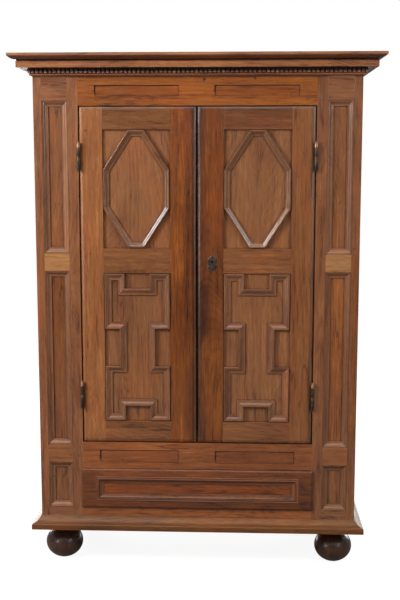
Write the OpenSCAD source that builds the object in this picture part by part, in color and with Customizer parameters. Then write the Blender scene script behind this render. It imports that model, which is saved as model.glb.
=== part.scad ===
// Two-door linen press with a long drawer below, on bun feet.
// It is built from separate boards: a panelled carcass, a moulded base and crown,
// two framed doors with mitred mouldings, iron hinges, a lock, bolts and a drawer.
// All lengths are in millimetres. X runs to the right, Y to the back and Z up.
// The origin is on the floor, under the middle of the whole press.

/* [Carcass] */
// Width between the outer faces of the sides
body_w = 1180; // [1100:1:1300]
// Depth from the front frame's face to the back
body_d = 520; // [480:1:600]
// Thickness of the front frame
frame_t = 32; // [30:1:36]
// Width of a corner post, seen from the front
post_w = 30; // [26:1:40]
// Depth of a corner post, seen from the side
post_d = 60; // [50:1:80]
// Width of the stile between pilaster and door
inner_stile_w = 38; // [36:1:46]
// Width of the sunk panels in a pilaster
pilaster_open_w = 93; // [80:1:110]
// Thickness of the rails in the sides
side_rail_t = 25; // [22:1:28]
// Thickness of the panels in the sides
side_panel_t = 10; // [8:1:12]
// How far the side panels lie behind the rails' outer faces
side_panel_sunk = 8; // [5:1:10]
// Height of the sides' bottom rails
side_bottom_rail_h = 120; // [100:1:150]

/* [Front heights, from the base up] */
// Rail under the drawer
bottom_rail_h = 40; // [34:1:60]
// Opening for the drawer
drawer_open_h = 142; // [130:1:180]
// Rail between drawer and doors
lower_rail_h = 107; // [95:1:130]
// Opening for the doors
door_open_h = 1243; // [1180:1:1320]
// Rail above the doors, up to the top of the carcass
frieze_rail_h = 131; // [120:1:150]

/* [Pilasters] */
// Rail under the small panel
pilaster_bottom_rail_h = 35; // [28:1:45]
// Small panel beside the drawer
small_panel_h = 175; // [150:1:200]
// Pale block above the small panel
lower_block_h = 67; // [50:1:80]
// Long panel beside the lower half of the doors
long_panel_h = 658; // [600:1:700]
// Pale block in the middle
upper_block_h = 64; // [50:1:80]
// Rail over the top panel, up to the top of the carcass
pilaster_top_rail_h = 112; // [100:1:140]
// How far the panels lie behind the front
pilaster_sunk = 16; // [12:1:17]
// Thickness of the panels
pilaster_panel_t = 9; // [7:1:10]
// Width of the moulding round each panel
pilaster_mould_w = 22; // [16:1:26]

/* [Joinery] */
// Length of a tenon
tenon_l = 16; // [12:1:17]
// Thickness of a tenon
tenon_t = 10; // [8:1:12]
// Depth of the grooves that hold panels
groove_l = 8; // [6:1:10]
// Clearance round tenons, tongues and spigots
joint_gap = 0.3; // [0.2:0.05:0.5]
// How far a strip of moulding stays back from its mitre, for the glue
mitre_gap = 0.05; // [0.02:0.01:0.2]

/* [Doors] */
// Thickness of a door
door_t = 32; // [30:1:34]
// Gap between a door and the stile that it hangs on
door_side_gap = 3; // [2:0.5:4]
// Gap above and below a door
door_end_gap = 1.5; // [1:0.5:3]
// Gap between the two doors
meeting_gap = 6; // [5:0.5:8]
// Width of the stile on the hinge side
hinge_stile_w = 84; // [75:1:95]
// Width of the stile where the doors meet
meeting_stile_w = 94; // [86:1:105]
// Height of the bottom rail
door_bottom_rail_h = 82; // [70:1:100]
// Height of the middle rail
door_middle_rail_h = 91; // [75:1:105]
// Height of the top rail
door_top_rail_h = 83; // [70:1:100]
// Height of the upper panel's opening
door_upper_panel_h = 428; // [400:1:460]
// Thickness of the door panels
door_panel_t = 11; // [9:1:13]
// How far the panels lie behind the front
door_panel_sunk = 8; // [6:1:10]
// Width of the rounded edge round each door
door_edge_w = 12; // [8:1:15]
// Depth of that edge
door_edge_d = 6; // [4:1:8]

/* [Door mouldings] */
// Space between a panel's opening and its moulding
mould_margin = 2.5; // [1:0.5:4]
// Width of the octagon moulding
octagon_w = 21; // [16:1:26]
// Height of the octagon moulding over the panel
octagon_h = 13; // [10:1:14]
// Length of the octagon's top and bottom sides
octagon_top_l = 58; // [50:1:80]
// Length of the octagon's upright sides
octagon_side_l = 140; // [120:1:180]
// Width of the stepped moulding
stepped_w = 25; // [20:1:28]
// Height of the stepped moulding over the panel
stepped_h = 12; // [9:1:14]
// Width of the notches at the top and bottom
end_notch_w = 92; // [80:1:100]
// Depth of the notches at the top and bottom
end_notch_d = 55; // [45:1:65]
// Height of the notches at the sides
side_notch_h = 140; // [120:1:170]
// Depth of the notches at the sides
side_notch_d = 54; // [45:1:56]

/* [Sunk panels in the rails] */
// Distance from the middle of the press to a panel's middle
brace_panel_x = 216; // [200:1:225]
// Straight length of the panels over the doors
frieze_panel_l = 291; // [260:1:310]
// Height of the panels over the doors
frieze_panel_h = 40; // [34:1:50]
// Straight length of the panels under the doors
lower_panel_l = 283; // [260:1:310]
// Height of the panels under the doors
lower_panel_h = 48; // [36:1:56]
// Depth that they are cut
brace_sunk = 3; // [2:0.5:4]
// Radius of the round shoulder at a panel's end
brace_shoulder_r = 6; // [5:0.5:7]
// Radius of the hollow beside a panel's point
brace_hollow_r = 8; // [6:0.5:9]

/* [Drawer] */
// How far the drawer's lip covers the frame
lip_over = 4.5; // [3:0.5:6]
// Thickness of the lip, in front of the frame
lip_t = 9; // [8:0.5:11]
// Thickness of the front, behind the lip
drawer_front_t = 22; // [20:1:26]
// Clearance between the front and its opening
drawer_gap = 2; // [1.5:0.5:3]
// Flat border left and right of the sunk field
drawer_border_w = 64; // [50:1:80]
// Flat border above and below the sunk field
drawer_border_h = 40; // [34:1:44]
// Depth of the sunk field
drawer_sunk = 10; // [8:1:12]
// Width of the moulding round the sunk field
drawer_mould_w = 17; // [12:1:20]
// Space between the drawer's back and the rails behind it
drawer_behind = 32; // [20:1:60]
// Height of the drawer's sides
drawer_side_h = 122; // [100:1:126]
// Thickness of the drawer's sides and back
drawer_side_t = 13; // [10:1:15]
// Thickness of the drawer's bottom
drawer_bottom_t = 8; // [6:1:10]
// Height of the drawer's bottom over the sides' lower edges
drawer_bottom_up = 8; // [6:1:12]
// Number of dovetails at each corner of the drawer
tail_count = 3; // [2:1:4]
// Width of a dovetail at its root
tail_root_w = 20; // [16:1:22]
// Wood left in front of the dovetails at the drawer's front
tail_cover = 7; // [5:1:9]
// Gap between the drawer and what it runs on
run_gap = 0.3; // [0.2:0.05:0.5]

/* [Base and feet] */
// Height of the feet
foot_h = 142; // [130:1:160]
// Radius of the ball of a foot
foot_r = 71; // [60:1:76]
// Half the height of the ball, before its sole is cut flat
foot_swell = 62; // [55:1:66]
// Radius of the flat sole
foot_sole_r = 25; // [20:1:32]
// Radius of the neck
foot_neck_r = 38; // [32:1:42]
// Radius of the collar under the base
foot_collar_r = 47; // [44:1:54]
// Height of the collar
foot_collar_h = 12; // [8:1:14]
// Radius of the spigot in the base
spigot_r = 18; // [14:1:22]
// Length of the spigot
spigot_l = 34; // [25:1:38]
// Distance from a foot's middle to the carcass's side face
foot_inset_x = 70; // [70:1:90]
// Distance from a foot's middle to the carcass's front or back face
foot_inset_y = 85; // [75:1:90]
// Height of the base
base_h = 46; // [42:1:60]
// How far the base stands out from the carcass
base_out = 33.5; // [25:0.5:40]
// Height of the base's upright edge
base_edge_h = 16; // [12:1:20]
// Width of the base's front and rear rails
base_rail_w = 130; // [125:1:150]
// Width of the base's side rails
base_side_rail_w = 100; // [80:1:130]

/* [Crown] */
// Height of the crown moulding
crown_h = 49; // [45:1:60]
// How far its top stands out from the carcass
crown_out = 76; // [70:1:90]
// How far its flat band stands out
band_out = 49; // [45:1:56]
// Height of the flat band
band_h = 24; // [20:1:28]
// Height of the fillet at the very top
fillet_h = 10; // [7:1:12]
// Width of the moulding's top edge
crown_top_w = 40; // [32:1:50]
// Thickness of the crown frame that lies on the carcass
crown_frame_t = 20; // [16:1:22]
// Width of that frame on the carcass's top edge
crown_seat_w = 12; // [10:1:16]
// Width of the crown's rear rail
crown_rear_w = 20; // [16:1:30]
// Height of the toothed course
dentil_h = 17; // [12:1:18]
// How far the teeth stand out from the carcass
dentil_out = 14.4; // [12:0.2:18]
// Thickness of the strip behind the teeth
dentil_back_t = 6; // [4:0.5:8]
// Width of one tooth
dentil_w = 9; // [7:0.5:10]
// Distance from tooth to tooth, before it is evened out
dentil_pitch = 15.8; // [14:0.1:20]
// Height of the small moulding under the teeth
bed_h = 10; // [9:1:14]
// How far that moulding stands out
bed_out = 10; // [8:0.5:11]

/* [Ironwork] */
// Radius of a hinge barrel
hinge_r = 6; // [5:0.5:7]
// Height of a hinge barrel
hinge_h = 95; // [80:1:110]
// Distance from the front to a barrel's middle
hinge_out = 7.5; // [7.5:0.5:9]
// Distance from a door's end to the hinge's middle
hinge_inset = 180; // [150:1:220]
// Radius of a hinge pin
pin_r = 3; // [2.5:0.25:3.5]
// Running clearance between pin and barrel
pin_gap = 0.05; // [0.02:0.01:0.09]
// Thickness of a hinge leaf
leaf_t = 2; // [1.5:0.1:2.2]
// How deep a hinge leaf reaches behind the front
leaf_l = 24; // [20:1:26]
// Gap between parts of the ironwork that pass each other
iron_gap = 0.4; // [0.3:0.1:0.6]
// Width of the keyhole plate
plate_w = 32; // [26:1:38]
// Height of the keyhole plate
plate_h = 66; // [56:1:76]
// Thickness of the keyhole plate
plate_t = 1.5; // [1:0.5:2.5]
// Height of the keyhole over the bottom of the door
keyhole_up = 680; // [660:1:710]
// Distance from the keyhole to the door's meeting edge
keyhole_in = 53; // [48:1:58]
// Radius of the keyhole's round part
keyhole_r = 4; // [3:0.5:5]
// Length of the keyhole's slot
keyhole_slot_l = 12; // [9:1:15]
// Width of the keyhole's slot
keyhole_slot_w = 3.5; // [3:0.5:5]
// Thickness of the lock case
lock_t = 18; // [16:1:22]
// Height of the lock case
lock_h = 76; // [70:1:90]
// Height and thickness of the lock's bolt
lock_bolt_h = 14; // [10:1:18]
lock_bolt_t = 7; // [5:1:9]
// Length of the lock's bolt
lock_bolt_l = 66; // [55:1:72]
// Height of the lock's bolt over the keyhole
lock_bolt_up = 19; // [16:1:22]
// Throw of the lock's bolt
lock_throw = 16; // [12:1:18]
// Width of the door bolts
door_bolt_w = 12; // [10:1:16]
// Thickness of the door bolts
door_bolt_t = 5; // [4:1:7]
// Length of the door bolts
door_bolt_l = 122; // [110:1:150]
// Throw of the door bolts
door_bolt_throw = 24; // [22:1:28]
// Distance from the door bolts to the meeting edge
door_bolt_in = 27; // [24:1:40]

/* [Inside] */
// Number of shelves
shelf_count = 3; // [2:1:5]
// Thickness of shelves and cupboard floor
shelf_t = 18; // [16:1:24]
// Width and height of the cleats that carry them
cleat_w = 20; // [16:1:28]
cleat_h = 25; // [20:1:30]
// Height of the cupboard floor over the rail below the doors
door_stop_h = 8; // [6:1:12]
// Thickness of the rails in the back
back_rail_t = 22; // [20:1:26]
// Thickness of the back boards
back_board_t = 14; // [12:1:16]
// Number of back boards
back_board_count = 7; // [5:1:9]
// Overlap of neighbouring back boards
back_lap = 6; // [4:1:8]
// Thickness of the top and bottom boards
cover_t = 14; // [12:1:16]
// Number of top boards
top_board_count = 3; // [2:1:5]
// Width of a drawer runner
runner_w = 50; // [40:1:60]
// Height of a drawer runner
runner_h = 25; // [20:1:32]
// Clearance between a drawer's side and its guide
guide_gap = 1; // [0.5:0.1:1.5]
// Height of the guide on a runner
guide_h = 30; // [20:1:40]
// Width of the guide on a runner
guide_w = 20; // [16:1:24]
// Height of the rail over a drawer side that keeps it from tipping
kicker_h = 33; // [24:1:40]

/* [Hidden] */
$fn = 48;

// A margin by which a cutting solid passes the face that it cuts
over = 3;
// Number of points on each curve of a moulding's profile
curve_n = 6;

// Across the front, measured from the middle
body_x = body_w / 2;
post_x = body_x - post_w;
stile_x = post_x - pilaster_open_w;
opening_x = stile_x - inner_stile_w;
side_rail_x = body_x - side_rail_t;

// Front and back. The crown's front edge and the carcass's back are equally far from the origin
front_y = (crown_out - body_d) / 2;
back_rail_d = body_d - back_board_t - back_rail_t;
rear_post_d = body_d - post_d;
deepest_frame = max(frame_t, door_t);
inside_d = deepest_frame + joint_gap;

// Heights, from the floor up
base_z = foot_h;
carcass_z = base_z + base_h;
drawer_z = carcass_z + bottom_rail_h;
lower_rail_z = drawer_z + drawer_open_h;
opening_z = lower_rail_z + lower_rail_h;
frieze_z = opening_z + door_open_h;
crown_z = frieze_z + frieze_rail_h;
dentil_z = crown_z - dentil_h;
bed_z = dentil_z - bed_h;
small_panel_z = carcass_z + pilaster_bottom_rail_h;
lower_block_z = small_panel_z + small_panel_h;
long_panel_z = lower_block_z + lower_block_h;
upper_block_z = long_panel_z + long_panel_h;
top_panel_z = upper_block_z + upper_block_h;
pilaster_top_z = crown_z - pilaster_top_rail_h;
side_panel_z = carcass_z + side_bottom_rail_h;

// Pilaster openings, as [bottom, top]
PILASTER_PANELS = [
    [small_panel_z, lower_block_z],
    [long_panel_z, upper_block_z],
    [top_panel_z, pilaster_top_z]
];
SIDE_PANELS = [[side_panel_z, upper_block_z], [top_panel_z, pilaster_top_z]];

// Doors. Each is drawn as the left one, and mirrored for the right one
door_x = [-(opening_x - door_side_gap), -meeting_gap / 2];
door_z = [opening_z + door_end_gap, frieze_z - door_end_gap];
door_panel_x = [door_x[0] + hinge_stile_w, door_x[1] - meeting_stile_w];
door_panel_mid = middle(door_panel_x);
upper_panel_z1 = door_z[1] - door_top_rail_h;
upper_panel_z0 = upper_panel_z1 - door_upper_panel_h;
lower_panel_z0 = door_z[0] + door_bottom_rail_h;
lower_panel_z1 = upper_panel_z0 - door_middle_rail_h;
DOOR_PANELS = [[lower_panel_z0, lower_panel_z1], [upper_panel_z0, upper_panel_z1]];
DOOR_RAILS = [
    [door_z[0], lower_panel_z0],
    [lower_panel_z1, upper_panel_z0],
    [upper_panel_z1, door_z[1]]
];

// Tenons and grooves lie in the same layer of the front frame and of the doors
front_tenon_d = [(frame_t - tenon_t) / 2, (frame_t + tenon_t) / 2];
door_tenon_d = [(door_t - tenon_t) / 2, (door_t + tenon_t) / 2];
back_tenon_d = [
    back_rail_d + (back_rail_t - tenon_t) / 2,
    back_rail_d + (back_rail_t + tenon_t) / 2
];
tenon_shoulder = 8;
pilaster_panel_d = [pilaster_sunk, pilaster_sunk + pilaster_panel_t];
door_panel_d = [door_panel_sunk, door_panel_sunk + door_panel_t];
side_panel_x = [body_x - side_panel_sunk - side_panel_t, body_x - side_panel_sunk];
side_tenon_x = [body_x - (side_rail_t + tenon_t) / 2, body_x - (side_rail_t - tenon_t) / 2];

// Drawer
drawer_x = opening_x - drawer_gap;
drawer_front_z = [drawer_z + drawer_gap, lower_rail_z - drawer_gap];
lip_x = opening_x + lip_over;
lip_z = [drawer_z - lip_over, lower_rail_z + lip_over];
lip_d = -run_gap - lip_t;
field_x = lip_x - drawer_border_w;
field_z = [lip_z[0] + drawer_border_h, lip_z[1] - drawer_border_h];
drawer_side_x = drawer_x - run_gap;
drawer_side_z = [drawer_z + run_gap, drawer_z + run_gap + drawer_side_h];
drawer_box_d = [drawer_front_t, back_rail_d - drawer_behind];
drawer_bottom_z = [
    drawer_side_z[0] + drawer_bottom_up,
    drawer_side_z[0] + drawer_bottom_up + drawer_bottom_t
];
drawer_back_z = [drawer_bottom_z[1] + joint_gap, drawer_side_z[1]];
drawer_back_d = [drawer_box_d[1] - drawer_side_t, drawer_box_d[1]];
drawer_groove = drawer_side_t / 2;
kicker_z = drawer_side_z[1] + drawer_gap;

// Inside the cupboard
floor_z = [opening_z + door_stop_h - shelf_t, opening_z + door_stop_h];
shelf_pitch = (crown_z - floor_z[1]) / (shelf_count + 1);
shelf_x = post_x - joint_gap;
shelf_back_d = back_rail_d - joint_gap;

// Ironwork
axis_x = opening_x - door_side_gap / 2;
hinge_zs = [door_z[0] + hinge_inset - hinge_h / 2, door_z[1] - hinge_inset - hinge_h / 2];
knuckle_h = (hinge_h - iron_gap) / 2;
pin_l = knuckle_h - 8;
leaf_x = [axis_x + iron_gap / 2, axis_x + iron_gap / 2 + leaf_t];
leaf_d = hinge_r + iron_gap - hinge_out;
keyhole_x = meeting_gap / 2 + keyhole_in;
keyhole_z = door_z[0] + keyhole_up;
lock_x = meeting_gap / 2 + 2;
lock_w = meeting_stile_w - 4;
lock_z = keyhole_z - lock_h * 0.45;
lock_bolt_z = keyhole_z + lock_bolt_up;
lock_bolt_d = door_t + (lock_t - lock_bolt_t) / 2;
bolt_x = door_x[1] - door_bolt_in;
guide_t = 2;
bolt_d = door_t + guide_t + iron_gap / 2;
top_bolt_z = door_z[1] - 7 - door_bolt_l;
bottom_bolt_z = floor_z[1] + 4;

// Small functions for outlines
function unit(v) = v / norm(v);
function left_of(v) = [-v[1], v[0]];
// Points of a curve that leaves a towards b and arrives at c from b
function bend(a, b, c) = [
    for (i = [0:curve_n])
        let (t = i / curve_n) (1 - t) * (1 - t) * a + 2 * t * (1 - t) * b + t * t * c
];
// Vector from a corner of a closed outline to the same corner one unit further in
function mitre(path, i) =
    let (
        n = len(path),
        a = left_of(unit(path[i] - path[(i + n - 1) % n])),
        b = left_of(unit(path[(i + 1) % n] - path[i]))
    )
    (a + b) / (1 + a * b);
function middle(range) = (range[0] + range[1]) / 2;
function half(range) = (range[1] - range[0]) / 2;
function rectangle(x, y) = [[-x, -y], [x, -y], [x, y], [-x, y]];

// Placing and basic boards. x and z are ranges, and d is the range behind the front face
module board(x, d, z) {
    translate([x[0], front_y + d[0], z[0]]) cube([x[1] - x[0], d[1] - d[0], z[1] - z[0]]);
}

// Children drawn flat are stood up on the front: x to the right, y up, z out of the front
module on_front(d = 0) {
    translate([0, front_y + d, 0]) rotate([90, 0, 0]) children();
}

module mirrored() {
    mirror([1, 0, 0]) children();
}

module both_sides() {
    children();
    mirrored() children();
}

// A rail between two stiles, with a tenon at each end
module tenoned_rail(x, d, z, tenon_d) {
    board(x, d, z);
    board([x[0] - tenon_l, x[1] + tenon_l], tenon_d, [z[0] + tenon_shoulder, z[1] - tenon_shoulder]);
}

// The hole for a tenon that enters a stile at x, on the side given by dir
module mortise(x, dir, z, tenon_d) {
    end = x + dir * (tenon_l + joint_gap);
    board(
        [min(x - dir * over, end), max(x - dir * over, end)],
        [tenon_d[0] - joint_gap, tenon_d[1] + joint_gap],
        [z[0] + tenon_shoulder - joint_gap, z[1] - tenon_shoulder + joint_gap]
    );
}

// A panel with its tongues in the grooves round it
module panel(x, d, z) {
    tongue = groove_l - joint_gap;
    board([x[0] - tongue, x[1] + tongue], d, [z[0] - tongue, z[1] + tongue]);
}

// The space that a panel and its clearance take out of the frame round it
module panel_groove(x, d, z) {
    board(
        [x[0] - groove_l, x[1] + groove_l],
        [d[0] - joint_gap, d[1] + joint_gap],
        [z[0] - groove_l, z[1] + groove_l]
    );
}

// Strips of moulding with mitred ends along a closed outline that runs anticlockwise.
// The profile's first coordinate runs inwards from the outline, and its second out of the front
module mitred_loop(path, profile, width, low, high) {
    n = len(path);
    for (i = [0:n - 1]) {
        a = path[i];
        b = path[(i + 1) % n];
        to_a = mitre(path, i);
        to_b = mitre(path, (i + 1) % n);
        run = b - a;
        back = mitre_gap * unit(run);
        intersection() {
            translate([a[0], a[1], 0])
                rotate([0, 0, atan2(run[1], run[0])])
                    translate([-width - over, 0, 0])
                        rotate([90, 0, 90])
                            linear_extrude(norm(run) + 2 * (width + over)) polygon(profile);
            translate([0, 0, low - over])
                linear_extrude(high - low + 2 * over)
                    polygon([
                        a + back - over * to_a, b - back - over * to_b,
                        b - back + (width + over) * to_b, a + back + (width + over) * to_a
                    ]);
        }
    }
}

// The front length of a moulding that runs round the carcass, mitred at both corners.
// The profile's first coordinate is the distance out from the carcass, and its second is the height
module front_run(profile, z, inner, outer) {
    intersection() {
        translate([-body_x - outer - over, front_y, z])
            rotate([90, 0, 90])
                linear_extrude(body_w + 2 * (outer + over))
                    polygon([for (p = profile) [-p[0], p[1]]]);
        translate([0, front_y, z - over])
            linear_extrude(crown_h + base_h + 2 * over)
                polygon([
                    [-body_x + inner, inner], [body_x - inner, inner],
                    [body_x + outer, -outer], [-body_x - outer, -outer]
                ]);
    }
}

// The right-hand length of such a moulding, mitred in front and square at the back
module side_run(profile, z, inner, outer) {
    intersection() {
        translate([body_x, front_y - outer - over, z])
            rotate([90, 0, 0])
                translate([0, 0, -body_d - outer - over])
                    linear_extrude(body_d + outer + over) polygon(profile);
        translate([0, front_y, z - over])
            linear_extrude(crown_h + base_h + 2 * over)
                polygon([
                    [body_x - inner, inner], [body_x + outer, -outer],
                    [body_x + outer, body_d], [body_x - inner, body_d]
                ]);
    }
}

// Profiles
// Crown: flat band, a small quirk, a low round and a fillet, on a frame that lies on the carcass
function crown_profile() = concat(
    [[-crown_seat_w, 0], [band_out, 0], [band_out, band_h], [band_out - 2, band_h]],
    bend([band_out - 2, band_h + 2], [(band_out + crown_out) / 2, band_h + 3],
        [crown_out - 2, crown_h - fillet_h - 1]),
    [
        [crown_out, crown_h - fillet_h], [crown_out, crown_h],
        [crown_out - crown_top_w, crown_h], [crown_out - crown_top_w, crown_frame_t],
        [-crown_seat_w, crown_frame_t]
    ]
);

// Small moulding under the teeth: a fillet and a bead
function bed_profile() = concat(
    [[0, 0], [bed_out - 6, 0], [bed_out - 6, bed_h - 8]],
    bend([bed_out - 4, bed_h - 8], [bed_out, bed_h - 8], [bed_out, bed_h - 4]),
    bend([bed_out, bed_h - 4], [bed_out, bed_h], [bed_out - 4, bed_h]),
    [[0, bed_h]]
);

// Base: an upright edge, a rounded nose and a hollow slope up to the carcass
function base_profile() = concat(
    [[0, 0], [base_out, 0], [base_out, base_edge_h]],
    bend([base_out, base_edge_h + 1], [base_out, base_edge_h + 4], [base_out - 4, base_edge_h + 6]),
    bend([base_out - 6, base_edge_h + 7], [base_out / 3, base_edge_h + 12], [2, base_h - 1]),
    [[0, base_h]]
);

// Sunk moulding of the pilasters: a bead flush with the stiles, then an ogee down to the panel
function sunk_profile(w, drop) = concat(
    [[joint_gap, -drop], [joint_gap, -1], [3, -1], [3, -3]],
    bend([3, -3], [w / 3, -3], [w / 2, -drop / 2]),
    bend([w / 2, -drop / 2], [w * 2 / 3, 4 - drop], [w - 3, 4 - drop]),
    [[w, 4 - drop], [w, -drop]]
);

// Raised moulding of the doors: a rounded ridge along the outer edge, a small step, and an ogee
// down to a low fillet beside the field
function raised_profile(w, h) = concat(
    [[0, 0]],
    bend([0, h - 2], [0, h], [2, h]),
    [[w * 0.2, h]],
    bend([w * 0.2, h - 1.2], [w * 0.37, h - 1.6], [w * 0.5, h * 0.6]),
    bend([w * 0.5, h * 0.6], [w * 0.62, 3.2], [w - 3, 3]),
    [[w, 3], [w, 0]]
);

// Moulding round the drawer's field: a fillet and a hollow down to the field
function drawer_profile(w, h) = concat(
    [[joint_gap, 0], [joint_gap, h - 1], [2, h - 1], [2, h - 2]],
    bend([2, h - 2], [w / 3, 3], [w - 3, 2.5]),
    [[w, 2.5], [w, 0]]
);

// Cutter that eases an outer edge: the waste beside an edge at u = 0, with the wood at u > 0.
// It leaves a small step and a low curve that falls away to the edge
function edge_waste(w, d) = concat(
    [[-over, over], [-over, -d]],
    bend([0, -d], [w * 0.35, -d * 0.42], [w, -d / 5]),
    [[w, over]]
);

// Feet and base
FOOT_DS = [foot_inset_y, body_d - foot_inset_y];
function foot_ball(r) = foot_swell * sqrt(1 - (r / foot_r) * (r / foot_r));
ball_z = foot_ball(foot_sole_r);
ball_start = -asin(ball_z / foot_swell);
ball_end = asin(foot_ball(foot_neck_r) / foot_swell);
ball_n = 16;

function foot_outline() = concat(
    [[0, 0]],
    [
        for (i = [0:ball_n])
            let (a = ball_start + (ball_end - ball_start) * i / ball_n)
                [foot_r * cos(a), ball_z + foot_swell * sin(a)]
    ],
    bend(
        [foot_neck_r, ball_z + foot_ball(foot_neck_r) + 3],
        [foot_neck_r, foot_h - foot_collar_h - 4],
        [foot_collar_r - 3, foot_h - foot_collar_h]
    ),
    [
        [foot_collar_r, foot_h - foot_collar_h], [foot_collar_r, foot_h],
        [spigot_r, foot_h], [spigot_r, foot_h + spigot_l], [0, foot_h + spigot_l]
    ]
);

module bun_feet() {
    color("#2b211c")
        both_sides()
            for (d = FOOT_DS)
                translate([body_x - foot_inset_x, front_y + d, 0])
                    rotate_extrude() polygon(foot_outline());
}

// Tenons of the base's side rails, widened by a clearance for their mortises
module base_tenons(grow) {
    board(
        [body_x - base_side_rail_w + tenon_shoulder - grow, body_x - tenon_shoulder + grow],
        [base_rail_w - tenon_l - grow, body_d - base_rail_w + tenon_l + grow],
        [base_z + (base_h - tenon_t) / 2 - grow, base_z + (base_h + tenon_t) / 2 + grow]
    );
}

module base_long_rails() {
    color("#8a5a36")
        difference() {
            for (d = [0, body_d - base_rail_w])
                board([-body_x, body_x], [d, d + base_rail_w], [base_z, carcass_z]);
            both_sides() {
                for (d = FOOT_DS)
                    translate([body_x - foot_inset_x, front_y + d, base_z - over])
                        cylinder(r = spigot_r + joint_gap, h = spigot_l + over + joint_gap);
                base_tenons(joint_gap);
            }
        }
}

module base_side_rails() {
    color("#8a5a36")
        both_sides() {
            board([body_x - base_side_rail_w, body_x], [base_rail_w, body_d - base_rail_w],
                [base_z, carcass_z]);
            base_tenons(0);
        }
}

module base_moulding_front() {
    color("#95612f") front_run(base_profile(), base_z, 0, base_out);
}

module base_moulding_returns() {
    color("#8c5a30") both_sides() side_run(base_profile(), base_z, 0, base_out);
}

module bottom_boards() {
    color("#b98d5c")
        board([-shelf_x, shelf_x], [inside_d, shelf_back_d], [carcass_z, carcass_z + cover_t]);
}

// Front frame
module pilaster_grooves() {
    for (z = PILASTER_PANELS)
        panel_groove([stile_x, post_x], pilaster_panel_d, z);
}

// Rails and blocks of a pilaster, as [bottom, top]
PILASTER_RAILS = [[carcass_z, small_panel_z], [pilaster_top_z, crown_z]];
PILASTER_BLOCKS = [[lower_block_z, long_panel_z], [upper_block_z, top_panel_z]];
SIDE_RAILS = [[carcass_z, side_panel_z], [upper_block_z, top_panel_z], [pilaster_top_z, crown_z]];
FRONT_RAILS = [[carcass_z, drawer_z], [lower_rail_z, opening_z], [frieze_z, crown_z]];

// A tenon of a side rail enters a post from behind or in front
module side_mortise(d, dir, z) {
    end = d + dir * (tenon_l + joint_gap);
    board(
        [side_tenon_x[0] - joint_gap, side_tenon_x[1] + joint_gap],
        [min(d - dir * over, end), max(d - dir * over, end)],
        [z[0] + tenon_shoulder - joint_gap, z[1] - tenon_shoulder + joint_gap]
    );
}

// Grooves for the side panels, in the posts and the side rails
module side_grooves() {
    for (z = SIDE_PANELS)
        board(
            [side_panel_x[0] - joint_gap, side_panel_x[1] + joint_gap],
            [post_d - groove_l, rear_post_d + groove_l],
            [z[0] - groove_l, z[1] + groove_l]
        );
}

// Right-hand corner post
module corner_stile() {
    difference() {
        board([post_x, body_x], [0, post_d], [carcass_z, crown_z]);
        pilaster_grooves();
        side_grooves();
        for (z = concat(PILASTER_RAILS, PILASTER_BLOCKS))
            mortise(post_x, 1, z, front_tenon_d);
        for (z = SIDE_RAILS)
            side_mortise(post_d, -1, z);
    }
}

module right_corner_stile() {
    color("#8f5a33") corner_stile();
}

module left_corner_stile() {
    color("#8a5732") mirrored() corner_stile();
}

// Right-hand stile between pilaster and door, recessed for the hinge leaves
module inner_stile() {
    difference() {
        board([opening_x, stile_x], [0, frame_t], [carcass_z, crown_z]);
        pilaster_grooves();
        for (z = concat(PILASTER_RAILS, PILASTER_BLOCKS))
            mortise(stile_x, -1, z, front_tenon_d);
        for (z = FRONT_RAILS)
            mortise(opening_x, 1, z, front_tenon_d);
        for (z = hinge_zs)
            board([opening_x - over, leaf_x[1] + joint_gap], [-over, leaf_l + joint_gap],
                [z - joint_gap, z + hinge_h + joint_gap]);
    }
}

module right_inner_stile() {
    color("#905a35") inner_stile();
}

module left_inner_stile() {
    color("#8b5833") mirrored() inner_stile();
}

module pilaster_cross_pieces(zs) {
    both_sides()
        difference() {
            for (z = zs)
                tenoned_rail([stile_x, post_x], [0, frame_t], z, front_tenon_d);
            pilaster_grooves();
        }
}

module pilaster_rails() {
    color("#8d5934") pilaster_cross_pieces(PILASTER_RAILS);
}

module pilaster_blocks() {
    color("#b37a45") pilaster_cross_pieces(PILASTER_BLOCKS);
}

module pilaster_panels() {
    color("#85522f")
        both_sides()
            for (z = PILASTER_PANELS)
                panel([stile_x, post_x], pilaster_panel_d, z);
}

module pilaster_mouldings() {
    on_front()
        for (z = PILASTER_PANELS)
            translate([(stile_x + post_x) / 2, middle(z), 0])
                mitred_loop(
                    rectangle(pilaster_open_w / 2, half(z)),
                    sunk_profile(pilaster_mould_w, pilaster_sunk),
                    pilaster_mould_w, -pilaster_sunk, 0
                );
}

module right_pilaster_mouldings() {
    color("#7d4c2b") pilaster_mouldings();
}

module left_pilaster_mouldings() {
    color("#794a2a") mirrored() pilaster_mouldings();
}

// A long panel outline whose ends are drawn out to a point between two hollows, like a brace
module brace_outline(l, h) {
    x = l / 2;
    top = h / 2;
    r = brace_shoulder_r;
    hollow = brace_hollow_r;
    square([l, h], center = true);
    for (side = [-1, 1])
        scale([side, 1]) {
            translate([x - over, r - top]) square([over + r, h - 2 * r]);
            for (y = [r - top, top - r])
                translate([x, y]) circle(r);
            difference() {
                translate([x, -hollow]) square([r + hollow, 2 * hollow]);
                for (y = [-hollow, hollow])
                    translate([x + r + hollow, y]) circle(hollow);
            }
        }
}

module brace_panels(l, h, z) {
    for (x = [-brace_panel_x, brace_panel_x])
        on_front(brace_sunk)
            translate([x, z, 0])
                linear_extrude(brace_sunk + over) brace_outline(l, h);
}

module frieze_rail() {
    color("#a0682f")
        difference() {
            tenoned_rail([-opening_x, opening_x], [0, frame_t], FRONT_RAILS[2], front_tenon_d);
            brace_panels(frieze_panel_l, frieze_panel_h, (frieze_z + bed_z) / 2);
        }
}

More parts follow.
